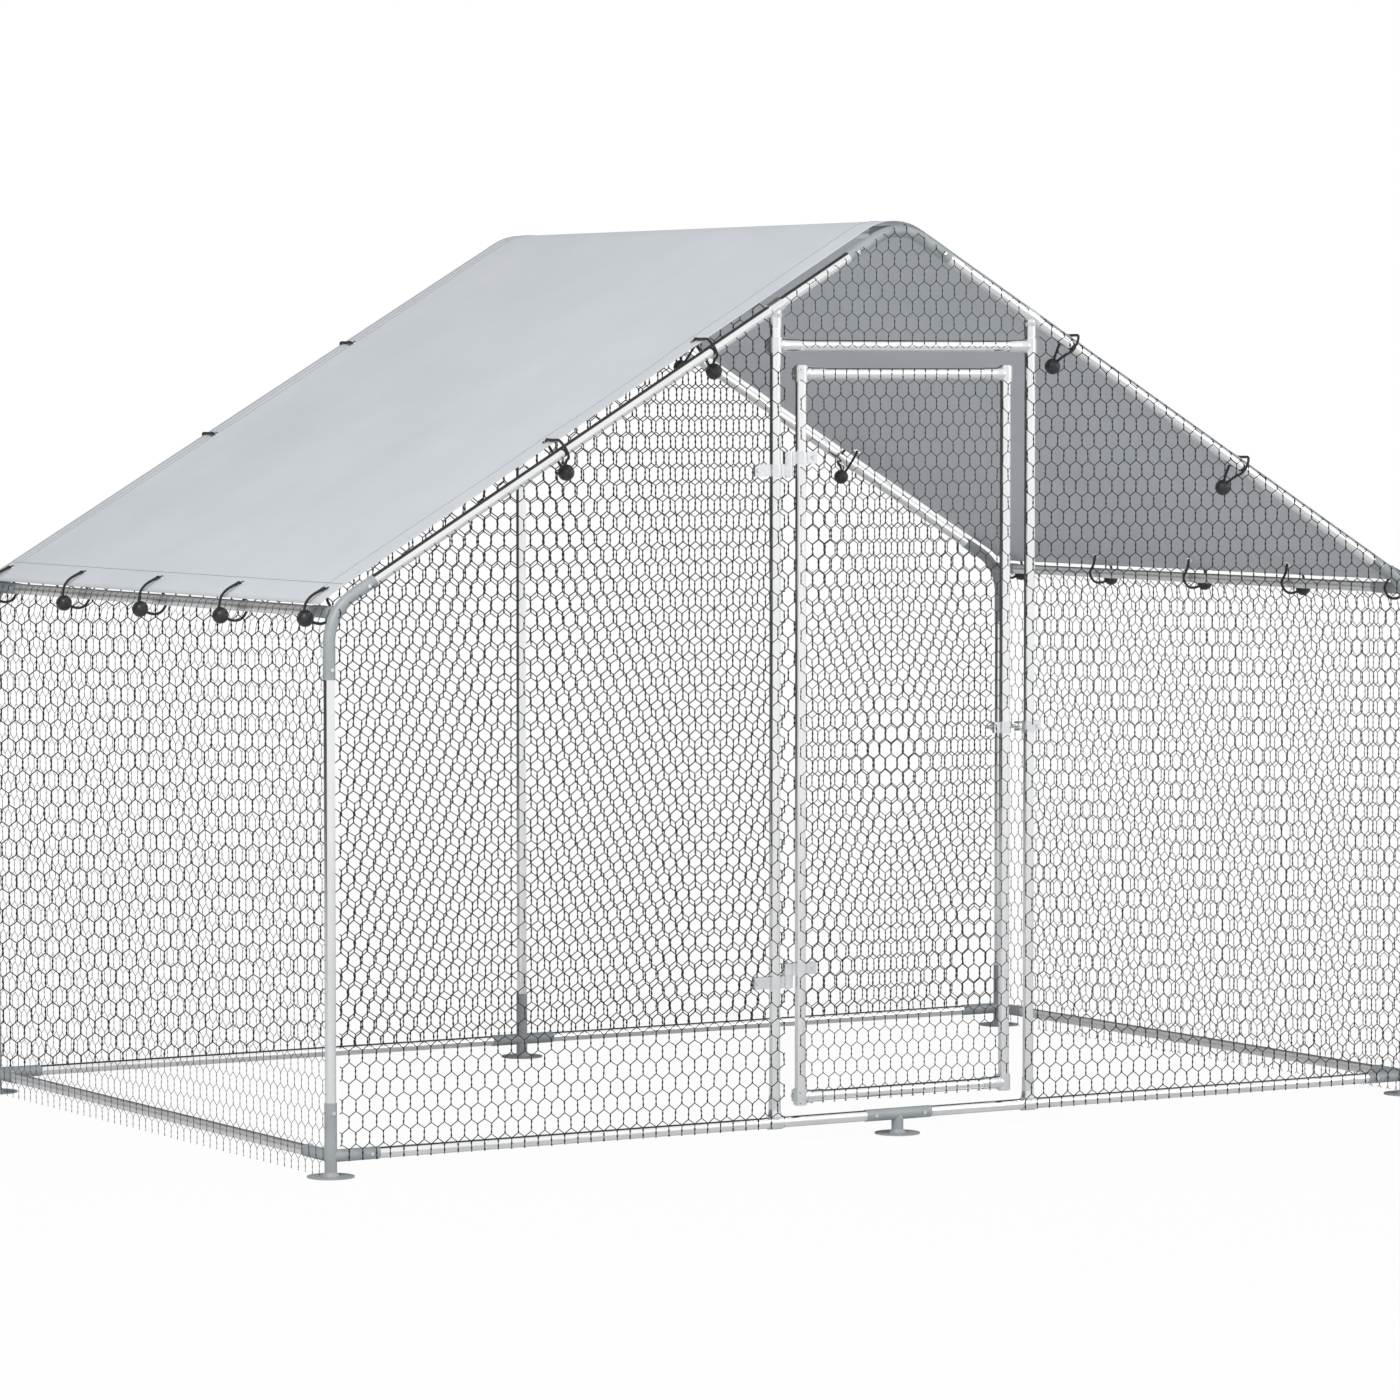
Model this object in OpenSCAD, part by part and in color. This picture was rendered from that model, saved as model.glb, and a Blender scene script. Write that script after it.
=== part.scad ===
// Walk-in chicken run: a gabled frame of steel tube, wire netting walls, a hinged netted door
// with a sliding bolt, and a sheet roof cover held down by elastic ties with ball ends.
// The front faces -Y, the origin is on the ground at the middle of the run.

/* [Frame] */
// Distance between the corner post centres across the front
run_w = 2970; // [2600:10:3300]
// Distance between the corner post centres from front to rear
run_d = 1810; // [1500:10:2400]
// Height where the centre lines of a corner post and its rafter would meet
eave_h = 1251; // [1150:1:1400]
// Pitch of the roof in degrees
roof_pitch = 30.4; // [27:0.1:34]
// Height of the base rails' centre line
base_h = 47; // [44:1:80]

/* [Tube and fittings] */
// Outside diameter of the frame tube
tube_d = 25; // [22:0.5:30]
// Wall of the frame tube
tube_wall = 1.2; // [0.8:0.1:2]
// Radial clearance between a tube and the sleeve that it plugs into
fit_gap = 0.2; // [0.15:0.05:0.5]
// Wall of the sleeves of feet, elbows and clamps
sleeve_wall = 1.3; // [1:0.1:2.5]
// Centre line radius of the elbows
bend_r = 125; // [90:5:160]
// Length of the eave elbow along the post, from the meeting point of the centre lines
elbow_post_len = 151; // [140:1:200]
// Length of the eave elbow along the rafter, from the meeting point of the centre lines
elbow_rafter_len = 130; // [120:1:180]
// Length of the ridge elbow along each rafter, from the meeting point of the centre lines
ridge_sleeve_len = 160; // [140:1:220]
// Length of the sleeves for the eave beams and the ridge beam
beam_sleeve_len = 110; // [70:1:150]
// Turn of the elbow, in degrees from the level, at which the eave beam leaves it
beam_turn = 33; // [26:1:36]

/* [Feet] */
// Diameter of a foot plate
foot_d = 106; // [80:1:140]
// Thickness of a foot plate
foot_t = 3; // [2:0.5:6]
// Length of the corner foot's sleeves from its centre
foot_sleeve_len = 118; // [70:1:160]
// Half length of the middle foot's sleeve
middle_sleeve_len = 89; // [60:1:140]

/* [Door] */
// Distance between the door post centres
door_post_span = 702; // [640:1:780]
// Distance from a door post's centre to the centre of the door stile beside it
door_gap = 69; // [66:1:80]
// Distance of the door's middle from the middle of the front
door_shift = 15; // [0:1:40]
// Height of the lower rafter above the header, measured at the door post
header_drop = 70; // [66:1:90]
// Distance from the header down to the door's top rail
door_head_gap = 65; // [55:1:90]
// Distance from the base rail up to the door's bottom rail
door_sill_gap = 56; // [45:1:90]
// How far the stiles run past the door's rails
stile_end = 20; // [18:1:30]

/* [Clamps] */
// Length of a clamp along the tube that it grips
clamp_len = 36; // [28:1:40]
// Reach of a clamp's sleeve along the tube that it holds
clamp_reach = 62; // [56:1:80]
// Reach of the rafter clamp's sleeve down the door post
rafter_clamp_reach = 48; // [46:1:50]
// Wall of the clamps' and straps' rings
ring_wall = 3; // [2.6:0.1:3.2]
// How much wider than its sleeve a clamp's cone starts
clamp_flare = 2.1; // [1:0.1:2.2]
// Thickness of a clamp's ears
ear_t = 2.5; // [1.5:0.1:3]
// Slot between a clamp's ears
ear_slot = 3; // [2:0.5:4]
// Length of a clamp's ears from its ring
ear_len = 16; // [14:1:24]
// Diameter of the clamp bolts
bolt_d = 6; // [5:0.5:8]

/* [Hinges] */
// Height of one hinge strap
strap_h = 28; // [20:1:36]
// Distance from the door's bottom rail up to the middle of the lower hinge
hinge_low = 283; // [150:1:400]
// Distance from the door's top rail down to the middle of the upper hinge
hinge_high = 207; // [120:1:400]
// Diameter of a hinge pin
pin_d = 8; // [6:0.5:10]
// Radial clearance of the hinge pins and of the latch bolt
run_gap = 0.05; // [0.03:0.01:0.09]
// Outside diameter of a hinge knuckle
knuckle_d = 24; // [18:1:28]
// Distance from the post's centre to the end of the post strap's ears
post_ear_end = 56; // [44:1:70]
// Distance from the stile's centre to the end of the door strap's ears
door_ear_end = 42; // [38:1:60]

/* [Latch] */
// Height of the latch above the door's bottom rail
latch_rise = 839; // [500:1:1100]
// Height of the latch's rings
latch_ring_h = 26; // [20:1:36]
// Diameter of the latch bolt
latch_d = 8; // [6:0.5:10]
// Length of the latch bolt
latch_len = 78; // [74:1:90]
// Gap between the drawn bolt and its keeper
latch_gap = 2; // [1.5:0.5:4]
// Length of the latch barrel and of the keeper's prongs
barrel_len = 44; // [40:1:48]
// Room above and below the bolt in its keeper
keeper_play = 2.5; // [2:0.1:3]
// Thickness of the keeper's prongs
prong_t = 4; // [3:0.5:5]

/* [Netting] */
// Distance between neighbouring twists of the netting
mesh_pitch = 34.4; // [30:0.1:40]
// Height of one row of the netting
mesh_row = 36.6; // [30:0.1:42]
// Height of a twist within a row
mesh_twist = 25; // [20:0.5:28]
// Openings of the netting that one drawn opening stands for, along each side
mesh_step = 6; // [6:1:10]
// Width of a drawn strand
strand_w = 5; // [3:0.5:8]
// Thickness of the netting panels
net_t = 2; // [1.5:0.5:3]
// Distance that the netting hangs below the base rails' centre line
net_skirt = 30; // [20:1:36]
// Vertical distance from the rafters' centre line down to the netting's upper edge
net_top_drop = 26; // [24:1:40]
// Width of netting past the middle of the door posts
net_wrap = 16; // [14:1:20]

/* [Roof cover] */
// Thickness of the cover
cover_t = 2; // [1.5:0.5:3]
// Height of the taut cover above the sleeves of the frame
cover_stand = 9.3; // [8.5:0.1:10]
// Distance that the cover's front edge is set back from the front rafters
cover_setback = 20; // [16:1:24]
// Distance that the cover's rear edge passes the rear rafters' centre line
cover_overrun = 3; // [0:1:5]
// Distance along the slope that the cover's lower edge passes the corner of the eave
cover_pass = 3; // [0:1:6]
// Distance along the slope from an eave eyelet to the cover's lower edge
eyelet_inset = 49; // [46:1:52]
// How much wider than its cord an eyelet's bore is
eyelet_play = 6.4; // [6.2:0.1:8]
// Width of an eyelet's lip
eyelet_lip = 4; // [3:0.5:6]
// Thickness of an eyelet's lip
eyelet_lip_t = 1.2; // [0.8:0.1:1.5]

/* [Ties] */
// Diameter of an elastic cord
cord_d = 5.5; // [4:0.5:6]
// Diameter of a ball
ball_d = 38; // [30:1:42]
// Number of ties along each eave
eave_ties = 5; // [3:1:6]
// Distance from the cover's front edge to the first tie of the left eave
left_eave_first = 50; // [40:1:75]
// Distance from the last tie of the left eave to the cover's rear edge
left_eave_last = 48; // [40:1:90]
// Distance from the cover's front edge to the first tie of the right eave
right_eave_first = 18; // [16:1:30]
// Distance from the last tie of the right eave to the cover's rear edge
right_eave_last = 74; // [40:1:90]
// Slope distance from the ridge to the upper tie of a left rafter
left_tie_first = 585; // [450:1:600]
// Slope distance between the ties of a left rafter
left_tie_step = 450; // [300:1:520]
// Slope distance from the ridge to the upper tie of a right rafter
right_tie_first = 562; // [480:1:600]
// Slope distance between the ties of a right rafter
right_tie_step = 575; // [300:1:600]
// Distance from a rafter's centre line to the eyelets of its ties
tie_reach = 55; // [54:1:60]
// Slack of a rafter tie round its tube
tie_slack = 0.8; // [0.6:0.1:0.9]
// Distance from a rafter tie's cord to the middle of its ball
ball_hang = 12; // [8:1:13]
// Angle from a rafter tie's lowest point to its ball
ball_turn = 15; // [0:1:20]
// Height of an eave tie's centre above the eave beam
tie_lift = 10.5; // [8:0.5:12]
// Distance that an eave tie's centre sits outside the eave beam
tie_out = 10; // [8:0.5:12]

/* [Hidden] */
soft_gap = 0.3;
body_gap = 0.4;
sleeve_bore = tube_d + 2 * fit_gap;
sleeve_d = sleeve_bore + 2 * sleeve_wall;
sleeve_r = sleeve_d / 2;
tube_r = tube_d / 2;
ring_r = sleeve_bore / 2 + ring_wall;

half_w = run_w / 2;
half_d = run_d / 2;
apex_h = eave_h + half_w * tan(roof_pitch);
rafter_len = half_w / cos(roof_pitch);
function rafter_z(x) = apex_h - abs(x) * tan(roof_pitch);

eave_bend = 90 - roof_pitch;
eave_tangent = bend_r * tan(eave_bend / 2);
ridge_tangent = bend_r * tan(roof_pitch);
ridge_centre_z = apex_h - bend_r / cos(roof_pitch);
ridge_z = ridge_centre_z + bend_r;
beam_x = half_w - bend_r + bend_r * cos(beam_turn);
beam_z = eave_h - eave_tangent + bend_r * sin(beam_turn);

// A tube stops this far from the middle of a fitting, a blind socket a little nearer
seat = sleeve_r + 2;
seat_play = 1;

// An elbow's bend is a little slimmer than its sleeves, which overlap its ends
bend_d = sleeve_d - 0.6;
bend_bore = tube_d - 2 * tube_wall;
bend_lap = 4;

post_left_x = door_shift - door_post_span / 2;
post_right_x = door_shift + door_post_span / 2;
stile_left_x = post_left_x + door_gap;
stile_right_x = post_right_x - door_gap;
header_h = min(rafter_z(post_left_x), rafter_z(post_right_x)) - header_drop;
door_top_h = header_h - door_head_gap;
door_bottom_h = base_h + door_sill_gap;
hinge_x = (post_left_x + stile_left_x) / 2;
hinge_heights = [door_bottom_h + hinge_low, door_top_h - hinge_high];
latch_h = door_bottom_h + latch_rise;

screw_head_d = 9;
screw_head_h = 2.2;
screw_d = 4;
screw_inset = 22;

// A clamp's cone runs from just inside its ring to half its reach
function cone_end(reach) = reach / 2;
cone_sink = 1;
cone_start = ring_r - cone_sink;
cone_r = sleeve_r + clamp_flare;

// End walls hang outside the clamps and screw heads, side walls outside the sleeves
end_net = max(sleeve_r + screw_head_h, cone_r) + soft_gap + net_t / 2;
side_net = sleeve_r + soft_gap + net_t / 2;

cover_seat = sleeve_r + cover_stand;
cover_mid = cover_seat + cover_t / 2;
cover_front = -half_d + cover_setback;
cover_rear = half_d + cover_overrun;
cover_end = rafter_len + cover_pass;
function slope_x(s, n) = s * cos(roof_pitch) + n * sin(roof_pitch);
function slope_z(s, n) = apex_h - s * sin(roof_pitch) + n * cos(roof_pitch);

// Each eave tie is a ring round the beam that passes through its eyelet
eave_eyelet_s = cover_end - eyelet_inset;
eave_eyelet = [slope_x(eave_eyelet_s, cover_mid), slope_z(eave_eyelet_s, cover_mid)];
eave_ring = [beam_x + tie_out, beam_z + tie_lift];
eave_ring_r = norm(eave_eyelet - eave_ring);
eave_ball_turn = 35;
eave_ball = eave_ring + eave_ring_r * [cos(eave_ball_turn), -sin(eave_ball_turn)];
function eave_tie_y(side) = let (
        first = cover_front + (side < 0 ? left_eave_first : right_eave_first),
        last = cover_rear - (side < 0 ? left_eave_last : right_eave_last)
    ) [for (i = [0:eave_ties - 1]) first + (last - first) * i / (eave_ties - 1)];

// Each rafter tie is a ring square to the rafter that passes the rafter's outer side and its eyelet
function rafter_tie_s(side) = side < 0 ? [left_tie_first, left_tie_first + left_tie_step]
    : [right_tie_first, right_tie_first + right_tie_step];
tie_pass = tube_r + cord_d / 2 + tie_slack;
rafter_ring_in = (pow(tie_reach, 2) + pow(cover_mid, 2) - pow(tie_pass, 2)) / (2 * (tie_reach + tie_pass));
rafter_ring_r = rafter_ring_in + tie_pass;
rafter_ball = (rafter_ring_r + ball_hang) * [0, -sin(ball_turn), -cos(ball_turn)];

net_low = base_h - net_skirt;
net_eave_top = min(eave_ring[1] - eave_ring_r - cord_d / 2, eave_ball[1] - ball_d / 2) - 3;
net_post_gap = 17;

galvanised = "gainsboro";
matte_grey = "lightslategray";
zinc = "whitesmoke";
wire_grey = "dimgray";
cover_grey = "lightsteelblue";
black = "#202224";

// Basic forms

// A round bar from one point to another
module bar(from, to, d) {
    way = to - from;
    translate(from)
        rotate([0, acos(way[2] / norm(way)), atan2(way[1], way[0])])
            cylinder(d = d, h = norm(way), $fn = 48);
}

// A length of frame tube
module tube(from, to) {
    step = (to - from) / norm(to - from);
    color(galvanised) difference() {
        bar(from, to, tube_d);
        bar(from - step, to + step, tube_d - 2 * tube_wall);
    }
}

// A bent bar in the XZ plane about the point [x, z], from one angle through a turn
module bend(centre, start, turn, d) {
    translate([centre[0], 0, centre[1]])
        rotate([90, 0, 0])
            rotate([0, 0, start])
                rotate_extrude(angle = turn, $fn = 96)
                    translate([bend_r, 0]) circle(d = d, $fn = 48);
}

// The sides and ends of the run, for pieces that are mirrored
module at_side(side) { mirror([side < 0 ? 1 : 0, 0, 0]) children(); }
module at_end(end) { mirror([0, end < 0 ? 1 : 0, 0]) children(); }

// Frame tubes, drawn for the right side and the rear and mirrored to the others

module ridge_beam() {
    reach = half_d - seat - seat_play;
    tube([0, -reach, ridge_z], [0, reach, ridge_z]);
}

module rafter(side, end) {
    along = [cos(roof_pitch), 0, -sin(roof_pitch)];
    top = [0, half_d, apex_h];
    at_side(side) at_end(end)
        tube(top + along * (ridge_tangent + seat_play), top + along * (rafter_len - eave_tangent - seat_play));
}

module eave_beam(side) {
    reach = half_d - seat - seat_play;
    at_side(side) tube([beam_x, -reach, beam_z], [beam_x, reach, beam_z]);
}

module corner_post(side, end) {
    at_side(side) at_end(end)
        tube([half_w, half_d, base_h + seat + seat_play], [half_w, half_d, eave_h - eave_tangent - seat_play]);
}

module base_rail_side(side) {
    reach = half_d - seat - seat_play;
    at_side(side) tube([half_w, -reach, base_h], [half_w, reach, base_h]);
}

module base_rail_end(side, end) {
    at_side(side) at_end(end)
        tube([seat + seat_play, half_d, base_h], [half_w - seat - seat_play, half_d, base_h]);
}

module rear_middle_post() {
    tube([0, half_d, base_h + seat + seat_play], [0, half_d, ridge_z - seat - seat_play]);
}

// The door post stops under the sloping rafter
module door_post(x) {
    top = rafter_z(x) - tube_r / cos(roof_pitch) - tube_r * tan(roof_pitch) - seat_play;
    tube([x, -half_d, base_h + tube_r + seat_play], [x, -half_d, top]);
}

module door_header() {
    inset = tube_r + seat_play;
    tube([post_left_x + inset, -half_d, header_h], [post_right_x - inset, -half_d, header_h]);
}

// Fittings

// A screw hole through one wall of a sleeve, at a point on its axis, facing a direction
module screw_hole(at, facing) { bar(at, at + facing * (sleeve_r + 1), screw_d + 0.4); }

// A screw with its head on a sleeve
module screw(at, facing) {
    head = at + facing * (sleeve_r + 0.05);
    color(zinc) {
        bar(head, head + facing * screw_head_h, screw_head_d);
        bar(at + facing * (tube_r + fit_gap + 0.1), head + facing, screw_d);
    }
}

function corner_screws() = [
    [[half_w - foot_sleeve_len + screw_inset, half_d, base_h], [0, 1, 0]],
    [[half_w, half_d - foot_sleeve_len + screw_inset, base_h], [0, 0, 1]],
    [[half_w, half_d, base_h + foot_sleeve_len - screw_inset], [0, 1, 0]]
];
function elbow_screws() = [
    [[half_w, half_d, eave_h - elbow_post_len + screw_inset], [0, 1, 0]],
    [
        [
            half_w - (elbow_rafter_len - screw_inset) * cos(roof_pitch), half_d,
            eave_h + (elbow_rafter_len - screw_inset) * sin(roof_pitch)
        ],
        [0, 1, 0]
    ],
    [[beam_x, half_d - beam_sleeve_len + screw_inset, beam_z], [1, 0, 0]]
];
function ridge_screws() = [
    [
        [
            (ridge_sleeve_len - screw_inset) * cos(roof_pitch), half_d,
            apex_h - (ridge_sleeve_len - screw_inset) * sin(roof_pitch)
        ],
        [0, 1, 0]
    ]
];
function middle_screws() = [[[middle_sleeve_len - screw_inset, half_d, base_h], [0, 1, 0]]];
rear_post_screws = [
    [[0, half_d, base_h + foot_sleeve_len - screw_inset], [0, 1, 0]],
    [[0, half_d, ridge_z - beam_sleeve_len + screw_inset], [0, 1, 0]]
];

module screw_holes(list) { for (s = list) screw_hole(s[0], s[1]); }

// A round foot plate with a collar, under a post's centre
module foot_plate() {
    cylinder(d = foot_d, h = foot_t, $fn = 96);
    cylinder(d1 = sleeve_d + 16, d2 = sleeve_d, h = foot_t + 8, $fn = 48);
}

module corner_foot(side, end) {
    middle = [half_w, half_d, base_h];
    ways = [[-1, 0, 0], [0, -1, 0], [0, 0, 1]];
    color(matte_grey) at_side(side) at_end(end) difference() {
        union() {
            translate([half_w, half_d, 0]) foot_plate();
            bar([half_w, half_d, foot_t], middle, sleeve_d);
            for (w = ways) bar(middle, middle + w * foot_sleeve_len, sleeve_d);
        }
        for (w = ways) bar(middle + w * seat, middle + w * (foot_sleeve_len + 1), sleeve_bore);
        screw_holes(corner_screws());
    }
}

module middle_foot(end, ways, sleeve_lens, screws) {
    middle = [0, half_d, base_h];
    color(matte_grey) at_end(end) difference() {
        union() {
            translate([0, half_d, 0]) foot_plate();
            bar([0, half_d, foot_t], middle, sleeve_d);
            for (i = [0:len(ways) - 1]) bar(middle, middle + ways[i] * sleeve_lens[i], sleeve_d);
        }
        for (i = [0:len(ways) - 1])
            bar(middle + ways[i] * seat, middle + ways[i] * (sleeve_lens[i] + 1), sleeve_bore);
        screw_holes(middle_screws());
        mirror([1, 0, 0]) screw_holes(middle_screws());
        screw_holes(screws);
    }
}

module middle_foot_front() {
    middle_foot(-1, [[1, 0, 0], [-1, 0, 0]], [middle_sleeve_len, middle_sleeve_len], []);
}

module middle_foot_rear() {
    middle_foot(1, [[1, 0, 0], [-1, 0, 0], [0, 0, 1]],
        [middle_sleeve_len, middle_sleeve_len, foot_sleeve_len], [rear_post_screws[0]]);
}

// The bent elbow at an eave, with a sleeve each for post, rafter and eave beam
module eave_elbow(side, end) {
    corner = [half_w, half_d, eave_h];
    up_slope = [-cos(roof_pitch), 0, sin(roof_pitch)];
    beam = [beam_x, half_d, beam_z];
    centre = [half_w - bend_r, eave_h - eave_tangent];
    bore_turn = 1;
    color(matte_grey) at_side(side) at_end(end) difference() {
        union() {
            translate([0, half_d, 0]) bend(centre, 0, eave_bend, bend_d);
            bar(corner - [0, 0, eave_tangent - bend_lap], corner - [0, 0, elbow_post_len], sleeve_d);
            bar(corner + up_slope * (eave_tangent - bend_lap), corner + up_slope * elbow_rafter_len, sleeve_d);
            bar(beam, beam - [0, beam_sleeve_len, 0], sleeve_d);
        }
        translate([0, half_d, 0])
            bend(centre, -bore_turn, eave_bend + 2 * bore_turn, bend_bore);
        bar(corner - [0, 0, eave_tangent], corner - [0, 0, elbow_post_len + 1], sleeve_bore);
        bar(corner + up_slope * eave_tangent, corner + up_slope * (elbow_rafter_len + 1), sleeve_bore);
        bar(beam - [0, seat, 0], beam - [0, beam_sleeve_len + 1, 0], sleeve_bore);
        screw_holes(elbow_screws());
    }
}

// The bent elbow at an end of the ridge; the rear one also takes the rear middle post
module ridge_elbow(end, with_post) {
    top = [0, half_d, apex_h];
    hub = [0, half_d, ridge_z];
    bore_turn = 1;
    color(matte_grey) at_end(end) difference() {
        union() {
            translate([0, half_d, 0])
                bend([0, ridge_centre_z], 90 - roof_pitch, 2 * roof_pitch, bend_d);
            for (side = [-1, 1]) {
                down_slope = [side * cos(roof_pitch), 0, -sin(roof_pitch)];
                bar(top + down_slope * (ridge_tangent - bend_lap), top + down_slope * ridge_sleeve_len, sleeve_d);
            }
            bar(hub, hub - [0, beam_sleeve_len, 0], sleeve_d);
            if (with_post) bar(hub, hub - [0, 0, beam_sleeve_len], sleeve_d);
        }
        translate([0, half_d, 0])
            bend([0, ridge_centre_z], 90 - roof_pitch - bore_turn, 2 * (roof_pitch + bore_turn), bend_bore);
        for (side = [-1, 1]) {
            down_slope = [side * cos(roof_pitch), 0, -sin(roof_pitch)];
            bar(top + down_slope * ridge_tangent, top + down_slope * (ridge_sleeve_len + 1), sleeve_bore);
            at_side(side) screw_holes(ridge_screws());
        }
        bar(hub - [0, seat, 0], hub - [0, beam_sleeve_len + 1, 0], sleeve_bore);
        if (with_post) {
            bar(hub - [0, 0, seat], hub - [0, 0, beam_sleeve_len + 1], sleeve_bore);
            screw_holes([rear_post_screws[1]]);
        }
    }
}

// Clamps: a split ring on the tube along Z, ears towards +Y with a bolt across them

ear_bolt_y = ring_r + ear_len / 2;
ear_span = ear_slot + 2 * ear_t;

// A hexagon bolt and nut across a pair of ears
module ear_bolt() {
    head_h = 0.65 * bolt_d;
    across = 1.8 * bolt_d;
    reach = ear_span / 2 + 0.1;
    color(zinc) translate([0, ear_bolt_y, 0]) rotate([0, 90, 0]) {
        translate([0, 0, -reach - head_h]) cylinder(d = across, h = head_h, $fn = 6);
        translate([0, 0, -reach - 0.5 * head_h]) cylinder(d = bolt_d, h = 2 * reach + 2 * head_h, $fn = 32);
        translate([0, 0, reach]) cylinder(d = across, h = head_h, $fn = 6);
    }
}

// A clamp with a sleeve towards +X, leaning from square by some degrees
module tee(reach, lean) {
    color(zinc) difference() {
        union() {
            rotate([0, lean, 0]) cylinder(r = ring_r, h = clamp_len, center = true, $fn = 64);
            rotate([0, lean, 0]) translate([-ear_span / 2, 0, -clamp_len / 2 + 4])
                cube([ear_span, ring_r + ear_len, clamp_len - 8]);
            rotate([0, 90, 0]) translate([0, 0, cone_start])
                cylinder(r1 = cone_r, r2 = sleeve_r, h = cone_end(reach) - cone_start, $fn = 64);
            rotate([0, 90, 0]) cylinder(d = sleeve_d, h = reach, $fn = 64);
        }
        rotate([0, lean, 0]) cylinder(d = sleeve_bore, h = 4 * clamp_len, center = true, $fn = 64);
        translate([tube_r, 0, 0]) rotate([0, 90, 0]) cylinder(d = sleeve_bore, h = reach, $fn = 64);
        rotate([0, lean, 0]) translate([-ear_slot / 2, 0, -clamp_len])
            cube([ear_slot, ring_r + ear_len + 1, 2 * clamp_len]);
        rotate([0, lean, 0]) translate([-ear_span, ear_bolt_y, 0]) rotate([0, 90, 0])
            cylinder(d = bolt_d + 0.4, h = 2 * ear_span, $fn = 32);
    }
}

// Places of the clamps on the front frame
module on_header(side) {
    translate([side < 0 ? post_left_x : post_right_x, -half_d, header_h]) at_side(-side) children();
}
module on_base(side) {
    translate([side < 0 ? post_left_x : post_right_x, -half_d, base_h]) rotate([0, -90, 0]) children();
}
module on_rafter(side) {
    x = side < 0 ? post_left_x : post_right_x;
    translate([x, -half_d, rafter_z(x)]) at_side(side) rotate([0, 90, 0]) children();
}
module on_door_corner(side, up) {
    z = up > 0 ? door_top_h : door_bottom_h;
    translate([side < 0 ? stile_left_x : stile_right_x, -half_d, z]) at_side(-side) children();
}

module door_post_tees() {
    for (side = [-1, 1]) {
        on_header(side) tee(clamp_reach, 0);
        on_base(side) tee(clamp_reach, 0);
    }
}

module rafter_clamps() {
    for (side = [-1, 1]) on_rafter(side) tee(rafter_clamp_reach, roof_pitch);
}

module clamp_bolts() {
    for (side = [-1, 1]) {
        on_header(side) ear_bolt();
        on_base(side) ear_bolt();
        on_rafter(side) rotate([0, roof_pitch, 0]) ear_bolt();
    }
    on_keeper() rotate([0, 0, 90]) ear_bolt();
    for (h = hinge_heights) on_post_strap(h) strap_bolt(post_ear_end);
}

module frame_screws() {
    for (side = [-1, 1], end = [-1, 1]) at_side(side) at_end(end) {
        for (s = concat(corner_screws(), elbow_screws(), ridge_screws(), middle_screws())) screw(s[0], s[1]);
    }
    for (s = rear_post_screws) screw(s[0], s[1]);
}

// Hinges: a strap on the post below a strap on the stile, on one pin

strap_arm = door_gap / 2;
strap_lift = strap_h / 2 + body_gap / 2;

// A strap round a tube along Z, its knuckle towards +X and its ears towards -X
module strap(ear_end) {
    color(zinc) difference() {
        union() {
            cylinder(r = ring_r, h = strap_h, center = true, $fn = 64);
            translate([-ear_end, -ear_span / 2, -strap_h / 2]) cube([ear_end, ear_span, strap_h]);
            translate([0, -ear_span / 2, -strap_h / 2]) cube([strap_arm, ear_span, strap_h]);
            translate([strap_arm, 0, 0]) cylinder(d = knuckle_d, h = strap_h, center = true, $fn = 64);
        }
        cylinder(d = sleeve_bore, h = strap_h + 2, center = true, $fn = 64);
        translate([-ear_end - 1, -ear_slot / 2, -strap_h]) cube([ear_end + 1, ear_slot, 2 * strap_h]);
        translate([strap_arm, 0, 0]) cylinder(d = pin_d + 2 * run_gap, h = strap_h + 2, center = true, $fn = 48);
        translate([-ear_end + bolt_d * 1.5, 0, 0]) rotate([90, 0, 0])
            cylinder(d = bolt_d + 0.4, h = 2 * ear_span, center = true, $fn = 32);
    }
}

module strap_bolt(ear_end) {
    translate([-ear_end + bolt_d * 1.5, 0, 0]) rotate([0, 0, 90]) translate([0, -ear_bolt_y, 0]) ear_bolt();
}

module on_post_strap(h) { translate([post_left_x, -half_d, h - strap_lift]) children(); }
module on_door_strap(h) { translate([stile_left_x, -half_d, h + strap_lift]) mirror([1, 0, 0]) children(); }

module hinge_post_straps() { for (h = hinge_heights) on_post_strap(h) strap(post_ear_end); }

module hinge_door_straps() { for (h = hinge_heights) on_door_strap(h) strap(door_ear_end); }

module hinge_pins() {
    head_h = 3;
    reach = strap_h + body_gap;
    for (h = hinge_heights) color(zinc) translate([hinge_x, -half_d, h]) {
        translate([0, 0, -reach - head_h]) cylinder(d = 1.6 * pin_d, h = head_h, $fn = 48);
        translate([0, 0, -reach - 0.5 * head_h]) cylinder(d = pin_d, h = 2 * reach + head_h, $fn = 48);
        translate([0, 0, reach]) cylinder(d1 = 1.6 * pin_d, d2 = pin_d, h = head_h, $fn = 48);
    }
}

// Latch: a barrel behind the stile guides a bolt into a fork behind the post

latch_y = ring_r + latch_d / 2 + 3;
latch_tube_d = latch_d + 6;
latch_ear_end = ring_r + ear_len;
keeper_start = post_right_x - barrel_len / 2;
latch_tip = keeper_start - latch_gap;
finger_d = 6;
finger_x = stile_right_x + barrel_len / 2 + finger_d / 2 + 1;

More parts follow.
